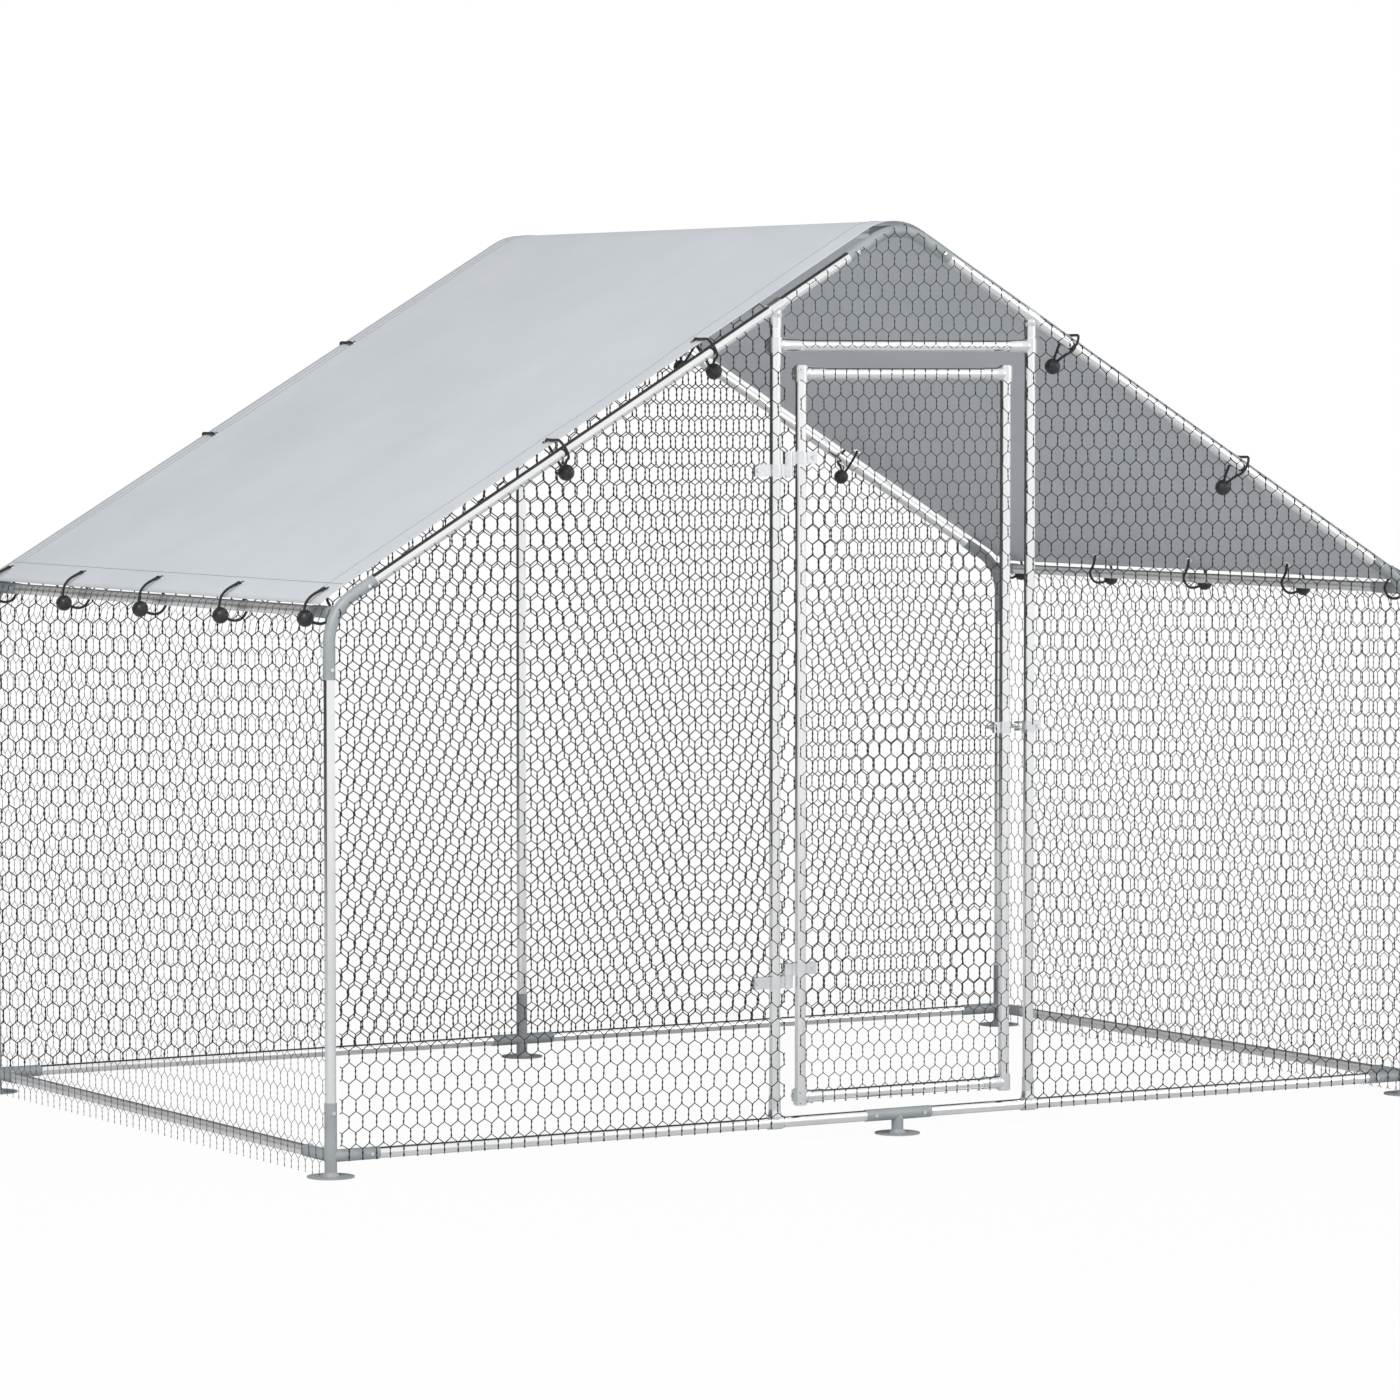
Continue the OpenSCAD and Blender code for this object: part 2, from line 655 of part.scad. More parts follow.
// A split ring on a tube along Z, with ears towards -X and a guide for the bolt as its child
module latch_ring() {
    difference() {
        union() {
            cylinder(r = ring_r, h = latch_ring_h, center = true, $fn = 64);
            translate([-latch_ear_end, -ear_span / 2, -latch_ring_h / 2])
                cube([latch_ear_end, ear_span, latch_ring_h]);
            children();
        }
        cylinder(d = sleeve_bore, h = latch_ring_h + 2, center = true, $fn = 64);
        translate([-latch_ear_end - 1, -ear_slot / 2, -latch_ring_h])
            cube([latch_ear_end + 1, ear_slot, 2 * latch_ring_h]);
        translate([-ear_bolt_y, 0, 0]) rotate([90, 0, 0])
            cylinder(d = bolt_d + 0.4, h = 2 * ear_span, center = true, $fn = 32);
    }
}

module on_keeper() { translate([post_right_x, -half_d, latch_h]) mirror([1, 0, 0]) children(); }
module on_barrel() { translate([stile_right_x, -half_d, latch_h]) children(); }

// The keeper has one prong above the bolt and one below it
module latch_keeper() {
    prong_z = latch_d / 2 + keeper_play;
    prong_root = ring_r / 2;
    color(zinc) on_keeper() latch_ring() for (z = [prong_z, -prong_z - prong_t])
        translate([-barrel_len / 2, prong_root, z])
            cube([barrel_len, latch_y + latch_tube_d / 2 - prong_root, prong_t]);
}

module latch_barrel() {
    color(zinc) on_barrel() difference() {
        latch_ring() {
            translate([-barrel_len / 2, latch_y, 0]) rotate([0, 90, 0])
                cylinder(d = latch_tube_d, h = barrel_len, $fn = 48);
            translate([-ring_r / 2, 0, -latch_tube_d / 2]) cube([ring_r, latch_y, latch_tube_d]);
        }
        translate([-barrel_len, latch_y, 0]) rotate([0, 90, 0])
            cylinder(d = latch_d + 2 * run_gap, h = 2 * barrel_len, $fn = 48);
    }
}

// The bolt has a finger pin that reaches forward between the stile and the post
module latch_bolt() {
    color(zinc) {
        translate([latch_tip - latch_len, -half_d + latch_y, latch_h]) rotate([0, 90, 0])
            cylinder(d = latch_d, h = latch_len, $fn = 48);
        translate([finger_x, -half_d + latch_y, latch_h]) rotate([90, 0, 0])
            cylinder(d = finger_d, h = latch_y + latch_ear_end, $fn = 32);
    }
}

// Door frame

module door_stile(x) {
    tube([x, -half_d, door_bottom_h - stile_end], [x, -half_d, door_top_h + stile_end]);
}

module door_rail(z) {
    inset = tube_r + seat_play;
    tube([stile_left_x + inset, -half_d, z], [stile_right_x - inset, -half_d, z]);
}

module door_corner_clamps() {
    for (side = [-1, 1], up = [-1, 1]) on_door_corner(side, up) tee(clamp_reach, 0);
}

module door_bolts() {
    for (side = [-1, 1], up = [-1, 1]) on_door_corner(side, up) ear_bolt();
    on_barrel() rotate([0, 0, 90]) ear_bolt();
    for (h = hinge_heights) on_door_strap(h) strap_bolt(door_ear_end);
}

// Netting: hexagonal openings in rows, each row shifted by half a pitch, cut to the panel's edge

hex_w = mesh_pitch * mesh_step;
hex_row = mesh_row * mesh_step;
hex_side = mesh_twist * mesh_step / 2;

function hexagon(c) = let (
        w = (hex_w - strand_w) / 2,
        peak = hex_row - hex_side - strand_w / 2,
        shoulder = hex_side - strand_w / 4
    ) [
        c + [0, peak], c + [-w, shoulder], c + [-w, -shoulder],
        c + [0, -peak], c + [w, -shoulder], c + [w, shoulder]
    ];

// The part of a convex outline on the inner side of the line from a to b
function cut(outline, a, b) = let (
        n = [a[1] - b[1], b[0] - a[0]],
        d = [for (p = outline) (p - a) * n],
        last = len(outline) - 1
    ) [
        for (i = [0:1:last])
            let (j = i == last ? 0 : i + 1, crossing = (d[i] > 0) != (d[j] > 0))
                each concat(
                    d[i] > 0 ? [outline[i]] : [],
                    crossing ? [outline[i] + (outline[j] - outline[i]) * d[i] / (d[i] - d[j])] : []
                )
    ];
function cut_all(outline, frame, i = 0) = i == len(frame) || len(outline) < 3 ? outline
    : cut_all(cut(outline, frame[i], frame[(i + 1) % len(frame)]), frame, i + 1);

// A panel's outline moved in by a strand's width; outlines run anticlockwise
function inward(a, b) = let (n = [a[1] - b[1], b[0] - a[0]]) n / norm(n) * strand_w;
function meet(a, u, b, v) = a + u * ((b - a) * [v[1], -v[0]]) / (u * [v[1], -v[0]]);
function inset(outline) = let (last = len(outline) - 1) [
    for (i = [0:last])
        let (
            before = outline[i == 0 ? last : i - 1], here = outline[i], after = outline[i == last ? 0 : i + 1],
            first = inward(before, here), second = inward(here, after)
        ) meet(here + first, here - before, here + second, after - here)
];
function area(p) = len(p) < 3 ? 0
    : abs([for (i = [0:len(p) - 1]) cross(p[i], p[(i + 1) % len(p)])] * [for (i = p) 1]) / 2;
function gaps(outline) = let (
        frame = inset(outline),
        xs = [for (p = outline) p[0]],
        zs = [for (p = outline) p[1]],
        cols = ceil((max(xs) - min(xs)) / hex_w) + 1,
        rows = ceil((max(zs) - min(zs)) / hex_row) + 1,
        smallest = 6 * pow(strand_w, 2)
    ) [
        for (r = [0:rows], c = [0:cols])
            let (
                centre = [min(xs) + (c + (r % 2) / 2) * hex_w, min(zs) + r * hex_row],
                gap = cut_all(hexagon(centre), frame)
            ) if (area(gap) > smallest) gap
    ];

module panel(outline) {
    color(wire_grey) linear_extrude(height = net_t, center = true) difference() {
        polygon(outline);
        for (g = gaps(outline)) polygon(g);
    }
}

// Panels stand outside the tubes, drawn upright in the plane of their wall
module on_end(end) { translate([0, end * (half_d + end_net), 0]) rotate([90, 0, 0]) children(); }

module mesh_side_wall(side) {
    reach = half_d - net_post_gap;
    outline = [[-reach, net_low], [reach, net_low], [reach, net_eave_top], [-reach, net_eave_top]];
    translate([side * (half_w + side_net), 0, 0]) rotate([90, 0, 90]) panel(outline);
}

function under_rafter(x) = [x, rafter_z(x) - net_top_drop];
net_edge_x = half_w - net_post_gap;

module mesh_rear_wall() {
    on_end(1) panel([
        [-net_edge_x, net_low], [net_edge_x, net_low],
        under_rafter(net_edge_x), under_rafter(0), under_rafter(-net_edge_x)
    ]);
}

module mesh_front_left() {
    edge = post_left_x + net_wrap;
    on_end(-1) panel([[-net_edge_x, net_low], [edge, net_low], under_rafter(edge), under_rafter(-net_edge_x)]);
}

module mesh_front_right() {
    edge = post_right_x - net_wrap;
    on_end(-1) panel([[edge, net_low], [net_edge_x, net_low], under_rafter(net_edge_x), under_rafter(edge)]);
}

module mesh_front_gable() {
    left = post_left_x + net_wrap + 1;
    right = post_right_x - net_wrap - 1;
    low = header_h - tube_r;
    on_end(-1) panel([[left, low], [right, low], under_rafter(right), under_rafter(0), under_rafter(left)]);
}

module door_mesh() {
    low = door_bottom_h - stile_end;
    high = door_top_h + stile_end;
    right = stile_right_x + tube_r;
    on_end(-1) panel([[stile_left_x, low], [right, low], [right, high], [stile_left_x, high]]);
}

// Roof cover: two flat slopes and a crown that follows the ridge elbows

crown_steps = 12;
function cover_line(n) = concat(
    [[-slope_x(cover_end, n), slope_z(cover_end, n)]],
    [
        for (i = [0:crown_steps])
            let (turn = 90 + roof_pitch - 2 * roof_pitch * i / crown_steps)
                [(bend_r + n) * cos(turn), ridge_centre_z + (bend_r + n) * sin(turn)]
    ],
    [[slope_x(cover_end, n), slope_z(cover_end, n)]]
);
function backwards(list) = [for (i = [len(list) - 1:-1:0]) list[i]];

// Every eyelet's place on a slope: slope distance from the ridge, and y
function eyelets(side) = concat(
    [for (y = eave_tie_y(side)) [eave_eyelet_s, y]],
    [for (end = [-1, 1], s = rafter_tie_s(side)) [s, end * (half_d - tie_reach)]]
);
module at_eyelets() {
    for (side = [-1, 1], e = eyelets(side))
        at_side(side) translate([slope_x(e[0], cover_mid), e[1], slope_z(e[0], cover_mid)])
            rotate([0, roof_pitch, 0]) children();
}

eyelet_wall = 1;
eyelet_bore = cord_d + eyelet_play;
eyelet_barrel_d = eyelet_bore + 2 * eyelet_wall;
eyelet_d = eyelet_barrel_d + 2 * eyelet_lip;

module roof_cover() {
    color(cover_grey) difference() {
        translate([0, cover_rear, 0]) rotate([90, 0, 0]) linear_extrude(height = cover_rear - cover_front)
            polygon(concat(cover_line(cover_seat + cover_t), backwards(cover_line(cover_seat))));
        at_eyelets() cylinder(d = eyelet_barrel_d + 2 * soft_gap, h = 4 * cover_t, center = true, $fn = 48);
    }
}

module cover_eyelets() {
    half = cover_t / 2 + soft_gap;
    color(zinc) at_eyelets() difference() {
        union() {
            cylinder(d = eyelet_barrel_d, h = 2 * half + eyelet_lip_t, center = true, $fn = 48);
            for (face = [half, -half - eyelet_lip_t])
                translate([0, 0, face]) cylinder(d = eyelet_d, h = eyelet_lip_t, $fn = 48);
        }
        cylinder(d = eyelet_bore, h = 4 * half + 4 * eyelet_lip_t, center = true, $fn = 48);
    }
}

// Ties: a ring of cord through an eyelet and round its tube, with a ball on it

module cord_ring(r) {
    rotate_extrude($fn = 96) translate([r, 0]) circle(d = cord_d, $fn = 32);
}

module at_eave_rings() {
    for (side = [-1, 1], y = eave_tie_y(side)) at_side(side) translate([0, y, 0]) children();
}

module at_rafter_rings() {
    for (side = [-1, 1], end = [-1, 1], s = rafter_tie_s(side))
        at_side(side) at_end(end) translate([slope_x(s, 0), half_d - rafter_ring_in, slope_z(s, 0)])
            rotate([0, roof_pitch, 0]) children();
}

module tie_cords() {
    gap_d = ball_d + 2 * soft_gap;
    color(black) {
        at_eave_rings() difference() {
            translate([eave_ring[0], 0, eave_ring[1]]) rotate([90, 0, 0]) cord_ring(eave_ring_r);
            translate([eave_ball[0], 0, eave_ball[1]]) sphere(d = gap_d, $fn = 48);
        }
        at_rafter_rings() difference() {
            rotate([0, 90, 0]) cord_ring(rafter_ring_r);
            translate(rafter_ball) sphere(d = gap_d, $fn = 48);
        }
    }
}

module tie_balls() {
    color(black) {
        at_eave_rings() translate([eave_ball[0], 0, eave_ball[1]]) sphere(d = ball_d, $fn = 48);
        at_rafter_rings() translate(rafter_ball) sphere(d = ball_d, $fn = 48);
    }
}

ridge_beam();
ridge_elbow(-1, false);  // ridge_elbow_front
ridge_elbow(1, true);  // ridge_elbow_rear
rafter(-1, -1);  // rafter_front_left
rafter(1, -1);  // rafter_front_right
rafter(-1, 1);  // rafter_rear_left
rafter(1, 1);  // rafter_rear_right
eave_elbow(-1, -1);  // eave_elbow_front_left
eave_elbow(1, -1);  // eave_elbow_front_right
eave_elbow(-1, 1);  // eave_elbow_rear_left
eave_elbow(1, 1);  // eave_elbow_rear_right
eave_beam(-1);  // eave_beam_left
eave_beam(1);  // eave_beam_right
corner_post(-1, -1);  // corner_post_front_left
corner_post(1, -1);  // corner_post_front_right
corner_post(-1, 1);  // corner_post_rear_left
corner_post(1, 1);  // corner_post_rear_right
corner_foot(-1, -1);  // corner_foot_front_left
corner_foot(1, -1);  // corner_foot_front_right
corner_foot(-1, 1);  // corner_foot_rear_left
corner_foot(1, 1);  // corner_foot_rear_right
base_rail_side(-1);  // base_rail_left
base_rail_side(1);  // base_rail_right
base_rail_end(-1, -1);  // base_rail_front_left
base_rail_end(1, -1);  // base_rail_front_right
base_rail_end(-1, 1);  // base_rail_rear_left
base_rail_end(1, 1);  // base_rail_rear_right
middle_foot_front();
middle_foot_rear();
rear_middle_post();
door_post(post_left_x);  // door_post_left
door_post(post_right_x);  // door_post_right
door_header();
door_post_tees();
rafter_clamps();
frame_screws();
clamp_bolts();
mesh_side_wall(-1);  // mesh_left_wall
mesh_side_wall(1);  // mesh_right_wall
mesh_rear_wall();
mesh_front_left();
mesh_front_right();
mesh_front_gable();
roof_cover();
cover_eyelets();
tie_cords();
tie_balls();
hinge_post_straps();
hinge_pins();
latch_keeper();
door_stile(stile_left_x);  // door_hinge_stile
door_stile(stile_right_x);  // door_latch_stile
door_rail(door_top_h);  // door_top_rail
door_rail(door_bottom_h);  // door_bottom_rail
door_corner_clamps();
door_bolts();
door_mesh();
hinge_door_straps();
latch_barrel();
latch_bolt();
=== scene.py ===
import math

import bpy
import numpy as np
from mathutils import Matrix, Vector


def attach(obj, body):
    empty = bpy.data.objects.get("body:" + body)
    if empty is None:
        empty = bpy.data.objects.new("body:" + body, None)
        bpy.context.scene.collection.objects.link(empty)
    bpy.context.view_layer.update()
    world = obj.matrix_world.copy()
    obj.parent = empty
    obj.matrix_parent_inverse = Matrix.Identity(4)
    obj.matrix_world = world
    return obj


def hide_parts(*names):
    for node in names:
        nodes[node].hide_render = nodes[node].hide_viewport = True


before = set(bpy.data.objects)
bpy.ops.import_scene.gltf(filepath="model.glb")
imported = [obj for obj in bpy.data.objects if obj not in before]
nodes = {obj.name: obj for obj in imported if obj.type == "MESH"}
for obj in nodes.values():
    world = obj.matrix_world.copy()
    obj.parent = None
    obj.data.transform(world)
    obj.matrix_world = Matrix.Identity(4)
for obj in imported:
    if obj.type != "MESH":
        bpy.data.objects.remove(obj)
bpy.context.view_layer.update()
scene = bpy.context.scene
scene.view_settings.view_transform = "Standard"

# Camera, at the photograph's viewing angle

YAW, DOWN = math.radians(30.70), math.radians(3.15)
FOCAL_PX, IMAGE_PX, SENSOR = 5936.0, 1400.0, 36.0

cam_data = bpy.data.cameras.new("camera")
cam_data.sensor_fit = "HORIZONTAL"
cam_data.sensor_width = SENSOR
cam_data.lens = SENSOR * FOCAL_PX / IMAGE_PX
cam_data.clip_end = 200.0
camera = bpy.data.objects.new("camera", cam_data)
camera.location = (-7.440, -12.532, 1.7735)
look = Vector((math.sin(YAW) * math.cos(DOWN), math.cos(YAW) * math.cos(DOWN), -math.sin(DOWN)))
camera.rotation_euler = look.to_track_quat("-Z", "Y").to_euler()
scene.collection.objects.link(camera)
scene.camera = camera

# Sizes of the frame, in metres, as in the part's source

HALF_W, HALF_D = 1.485, 0.905
PITCH = math.radians(30.4)
BEND_R, EAVE_H = 0.125, 1.251
BEAM_TURN = math.radians(33)
APEX_H = EAVE_H + HALF_W * math.tan(PITCH)
BEAM_X = HALF_W - BEND_R + BEND_R * math.cos(BEAM_TURN)
BEAM_Z = EAVE_H - BEND_R * math.tan((math.pi / 2 - PITCH) / 2) + BEND_R * math.sin(BEAM_TURN)
RIDGE_TANGENT = BEND_R * math.tan(PITCH)
RIDGE_CENTRE_Z = APEX_H - BEND_R / math.cos(PITCH)
COVER_MID = 0.0243
COVER_FRONT, COVER_REAR = -0.885, 0.908
COVER_END = HALF_W / math.cos(PITCH) + 0.003
EYELET_S = COVER_END - 0.049
EYELET_HOLE_R = 0.0073
EAVE_TIES = [(side, y) for side, first, last in ((-1, -0.835, 0.860), (1, -0.867, 0.834))
             for y in np.linspace(first, last, 5)]
RAFTER_TIES = [(side, s, end) for side, s in ((-1, 0.585), (-1, 1.035), (1, 0.562), (1, 1.137))
               for end in (-1, 1)]
TIE_REACH = 0.055
CORD_D, BALL_R = 0.0066, 0.019


def rafter_z(x):
    return APEX_H - abs(x) * math.tan(PITCH)


def slope(s, n):
    """x and z at distance s from the ridge along a rafter's line and n above it."""
    return (s * math.cos(PITCH) + n * math.sin(PITCH), APEX_H - s * math.sin(PITCH) + n * math.cos(PITCH))


# Materials


class Shader:
    """A material's node tree, with short calls for the nodes used here."""

    def __init__(self, name):
        self.mat = bpy.data.materials.new(name)
        self.mat.use_nodes = True
        self.tree = self.mat.node_tree
        self.tree.nodes.clear()
        self.out = self.node("ShaderNodeOutputMaterial")
        self.bsdf = self.node("ShaderNodeBsdfPrincipled")
        self.link(self.bsdf.outputs["BSDF"], self.out.inputs["Surface"])
        self.coord = self.node("ShaderNodeTexCoord").outputs["Object"]

    def node(self, kind, **values):
        made = self.tree.nodes.new(kind)
        for key, value in values.items():
            setattr(made, key, value)
        return made

    def link(self, a, b):
        self.tree.links.new(a, b)

    def noise(self, scale, detail=3.0, rough=0.55, vector=None):
        n = self.node("ShaderNodeTexNoise")
        n.inputs["Scale"].default_value = scale
        n.inputs["Detail"].default_value = detail
        n.inputs["Roughness"].default_value = rough
        self.link(self.coord if vector is None else vector, n.inputs["Vector"])
        return n.outputs["Fac"]

    def cells(self, scale, feature="F1"):
        n = self.node("ShaderNodeTexVoronoi", feature=feature)
        n.inputs["Scale"].default_value = scale
        self.link(self.coord, n.inputs["Vector"])
        return n

    def wave(self, scale, axis, profile="SIN", distortion=0.0):
        n = self.node("ShaderNodeTexWave", bands_direction=axis, wave_profile=profile)
        n.inputs["Scale"].default_value = scale
        n.inputs["Distortion"].default_value = distortion
        self.link(self.coord, n.inputs["Vector"])
        return n.outputs["Fac"]

    def ramp(self, fac, stops):
        n = self.node("ShaderNodeValToRGB")
        while len(n.color_ramp.elements) < len(stops):
            n.color_ramp.elements.new(0.5)
        for element, (place, value) in zip(n.color_ramp.elements, stops):
            element.position = place
            element.color = (*value, 1.0) if hasattr(value, "__len__") else (value, value, value, 1.0)
        self.link(fac, n.inputs["Fac"])
        return n.outputs["Color"]

    def span(self, fac, low, high):
        n = self.node("ShaderNodeMapRange")
        n.inputs["To Min"].default_value = low
        n.inputs["To Max"].default_value = high
        self.link(fac, n.inputs["Value"])
        return n.outputs["Result"]

    def math(self, operation, a, b):
        n = self.node("ShaderNodeMath", operation=operation)
        for socket, value in zip(n.inputs, (a, b)):
            if isinstance(value, (int, float)):
                socket.default_value = value
            else:
                self.link(value, socket)
        return n.outputs["Value"]

    def mix(self, fac, a, b, kind="MIX"):
        n = self.node("ShaderNodeMix", data_type="RGBA", blend_type=kind)
        for name, value in (("Factor_Float", fac), ("A_Color", a), ("B_Color", b)):
            socket = next(s for s in n.inputs if s.identifier == name)
            if isinstance(value, (int, float)):
                socket.default_value = value
            elif isinstance(value, tuple):
                socket.default_value = (*value, 1.0)
            else:
                self.link(value, socket)
        return next(s for s in n.outputs if s.identifier == "Result_Color")

    def bump(self, height, distance, strength=1.0):
        n = self.node("ShaderNodeBump")
        n.inputs["Distance"].default_value = distance
        n.inputs["Strength"].default_value = strength
        self.link(height, n.inputs["Height"])
        self.link(n.outputs["Normal"], self.bsdf.inputs["Normal"])

    def set(self, **values):
        for key, value in values.items():
            socket = self.bsdf.inputs[key.replace("_", " ")]
            if isinstance(value, (int, float)):
                socket.default_value = value
            elif isinstance(value, tuple):
                socket.default_value = (*value, 1.0)
            else:
                self.link(value, socket)


def galvanised_tube(name, rough):
    m = Shader(name)
    spangle = m.cells(110.0).outputs["Color"]
    cloud = m.noise(9.0, 4.0)
    tone = m.ramp(cloud, [(0.30, (0.83, 0.845, 0.86)), (0.70, (0.90, 0.905, 0.91))])
    m.set(Base_Color=m.mix(0.03, tone, spangle, "OVERLAY"), Metallic=1.0,
          Roughness=m.span(m.noise(40.0, 4.0), *rough))
    m.bump(m.noise(260.0, 2.0), 0.0002, 0.06)
    return m.mat


def coated_fitting():
    m = Shader("coated_fitting")
    fine, cloud = m.noise(650.0, 2.0), m.noise(14.0, 5.0)
    tone = m.ramp(cloud, [(0.25, (0.375, 0.405, 0.425)), (0.75, (0.46, 0.49, 0.51))])
    m.set(Base_Color=m.mix(0.12, tone, m.ramp(fine, [(0.35, 0.3), (0.65, 0.7)]), "OVERLAY"), Metallic=0.15,
          Roughness=m.span(m.noise(45.0, 4.0), 0.42, 0.58))
    m.bump(fine, 0.0005, 0.35)
    return m.mat


def bright_zinc():
    m = Shader("bright_zinc")
    cloud = m.noise(35.0, 4.0)
    tone = m.ramp(cloud, [(0.30, (0.74, 0.765, 0.78)), (0.72, (0.84, 0.855, 0.86))])
    m.set(Base_Color=tone, Metallic=0.9, Roughness=m.span(m.noise(160.0, 4.0), 0.15, 0.25))
    m.bump(m.noise(900.0, 2.0), 0.0003, 0.3)
    return m.mat


def net_wire():
    m = Shader("net_wire")
    cloud = m.noise(28.0, 4.0)
    tone = m.ramp(cloud, [(0.30, (0.028, 0.030, 0.031)), (0.72, (0.048, 0.051, 0.053))])
    m.set(Base_Color=tone, Roughness=m.span(m.noise(300.0, 3.0), 0.45, 0.62), Specular_IOR_Level=0.2)
    return m.mat


def woven_cover():
    m = Shader("woven_cover")
    warp, weft = m.wave(130.0, "X"), m.wave(130.0, "Y")
    weave = m.math("MULTIPLY", warp, weft)
    cloud = m.noise(3.2, 5.0)
    tone = m.ramp(cloud, [(0.28, (0.645, 0.682, 0.724)), (0.74, (0.706, 0.740, 0.780))])
    m.set(Base_Color=m.mix(0.05, tone, m.ramp(weave, [(0.1, 0.25), (0.9, 0.75)]), "OVERLAY"),
          Roughness=m.span(m.noise(20.0, 4.0), 0.52, 0.66), Sheen_Weight=0.08)
    m.bump(weave, 0.0005, 0.12)
    return m.mat


def stitch_thread():
    m = Shader("stitch_thread")
    tone = m.ramp(m.noise(400.0, 3.0), [(0.3, (0.36, 0.38, 0.40)), (0.7, (0.47, 0.49, 0.51))])
    m.set(Base_Color=tone, Roughness=0.8)
    m.bump(m.wave(900.0, "DIAGONAL"), 0.0003, 0.3)
    return m.mat


def elastic_cord():
    m = Shader("elastic_cord")
    plait = m.wave(620.0, "DIAGONAL", distortion=1.0)
    tone = m.ramp(plait, [(0.2, (0.010, 0.010, 0.011)), (0.8, (0.030, 0.030, 0.032))])
    m.set(Base_Color=tone, Roughness=m.span(plait, 0.62, 0.78), Sheen_Weight=0.1)
    m.bump(plait, 0.0005, 0.4)
    return m.mat


def ball_plastic():
    m = Shader("ball_plastic")
    tone = m.ramp(m.noise(40.0, 4.0), [(0.3, (0.020, 0.021, 0.023)), (0.7, (0.034, 0.035, 0.038))])
    m.set(Base_Color=tone, Roughness=m.span(m.noise(220.0, 3.0), 0.30, 0.44))
    m.bump(m.noise(700.0, 2.0), 0.0003, 0.2)
    return m.mat


TUBE, DULL_TUBE = galvanised_tube("galvanised_tube", (0.12, 0.20)), galvanised_tube("dull_tube", (0.40, 0.50))
FITTING, ZINC, WIRE = coated_fitting(), bright_zinc(), net_wire()
COVER, THREAD, CORD, BALL = woven_cover(), stitch_thread(), elastic_cord(), ball_plastic()


def finish_of(node):
    if node.startswith(("ridge_elbow", "eave_elbow", "corner_foot", "middle_foot")):
        return FITTING
    if node.startswith(("rafter_clamps", "frame_screws", "clamp_bolts", "cover_eyelets", "hinge", "latch")):
        return ZINC
    if node in ("door_post_tees", "door_corner_clamps", "door_bolts"):
        return ZINC
    if node.startswith(("eave_beam", "base_rail_left", "base_rail_right", "ridge_beam")):
        return DULL_TUBE
    return TUBE


for node_name, node_object in nodes.items():
    node_object.data.materials.clear()
    node_object.data.materials.append(finish_of(node_name))


# Mesh helpers


def mesh_object(name, verts, quads, material, smooth=False, tris=()):
    verts = np.asarray(verts, dtype=np.float32).reshape(-1, 3)
    quads = np.asarray(quads, dtype=np.int32).reshape(-1, 4)
    tris = np.asarray(tris, dtype=np.int32).reshape(-1, 3)
    mesh = bpy.data.meshes.new(name)
    mesh.vertices.add(len(verts))
    mesh.vertices.foreach_set("co", verts.ravel())
    loops = np.concatenate([quads.ravel(), tris.ravel()])
    totals = np.concatenate([np.full(len(quads), 4), np.full(len(tris), 3)]).astype(np.int32)
    starts = np.concatenate([[0], np.cumsum(totals)[:-1]]).astype(np.int32)
    mesh.loops.add(len(loops))
    mesh.loops.foreach_set("vertex_index", loops)
    mesh.polygons.add(len(totals))
    mesh.polygons.foreach_set("loop_start", starts)
    mesh.polygons.foreach_set("loop_total", totals)
    mesh.polygons.foreach_set("use_smooth", np.full(len(totals), smooth))
    mesh.update(calc_edges=True)
    mesh.validate()
    mesh.materials.append(material)
    made = bpy.data.objects.new(name, mesh)
    scene.collection.objects.link(made)
    return made


class Pile:
    """Vertices and faces of many small solids, gathered for one mesh."""

    def __init__(self):
        self.verts, self.quads, self.count = [], [], 0

    def rods(self, rings):
        """rings is (strands, rings along, sides, 3); each strand becomes a closed rod."""
        rings = np.asarray(rings)
        n, along, sides = rings.shape[:3]
        if n == 0:
            return
        index = self.count + np.arange(n * along * sides).reshape(n, along, sides)
        turned = np.roll(index, -1, axis=2)
        walls = np.stack([index[:, :-1], turned[:, :-1], turned[:, 1:], index[:, 1:]], axis=-1)
        self.quads.append(walls.reshape(-1, 4))
        if sides == 4:
            self.quads.append(index[:, 0, ::-1].reshape(-1, 4))
            self.quads.append(index[:, -1].reshape(-1, 4))
        self.verts.append(rings.reshape(-1, 3))
        self.count += n * along * sides

    def object(self, name, material, smooth=False):
        return mesh_object(name, np.concatenate(self.verts), np.concatenate(self.quads), material, smooth)


def frames(direction, hint):
    """Two unit vectors across each direction."""
    side = np.cross(direction, hint)
    side /= np.linalg.norm(side, axis=-1, keepdims=True)
    return side, np.cross(direction, side)


def straight_rods(pile, start, end, radius, hint, steps=2):
    start, end = np.asarray(start, float), np.asarray(end, float)
    if len(start) == 0:
        return
    direction = end - start
    direction /= np.linalg.norm(direction, axis=-1, keepdims=True)
    a, b = frames(direction, np.asarray(hint, float))
    angle = np.arange(4) * math.pi / 2 + math.pi / 4
    ring = radius * (np.cos(angle)[None, :, None] * a[:, None] + np.sin(angle)[None, :, None] * b[:, None])
    share = np.linspace(0, 1, steps)
    centre = start[:, None] + share[None, :, None] * (end - start)[:, None]
    pile.rods(centre[:, :, None] + ring[:, None])


# Hexagonal netting

# Radius of a wire, and half the width and depth of a twisted pair
WIRE_R, PAIR_A, PAIR_B = 0.00120, 0.00215, 0.00125
PAIR_RINGS = 7


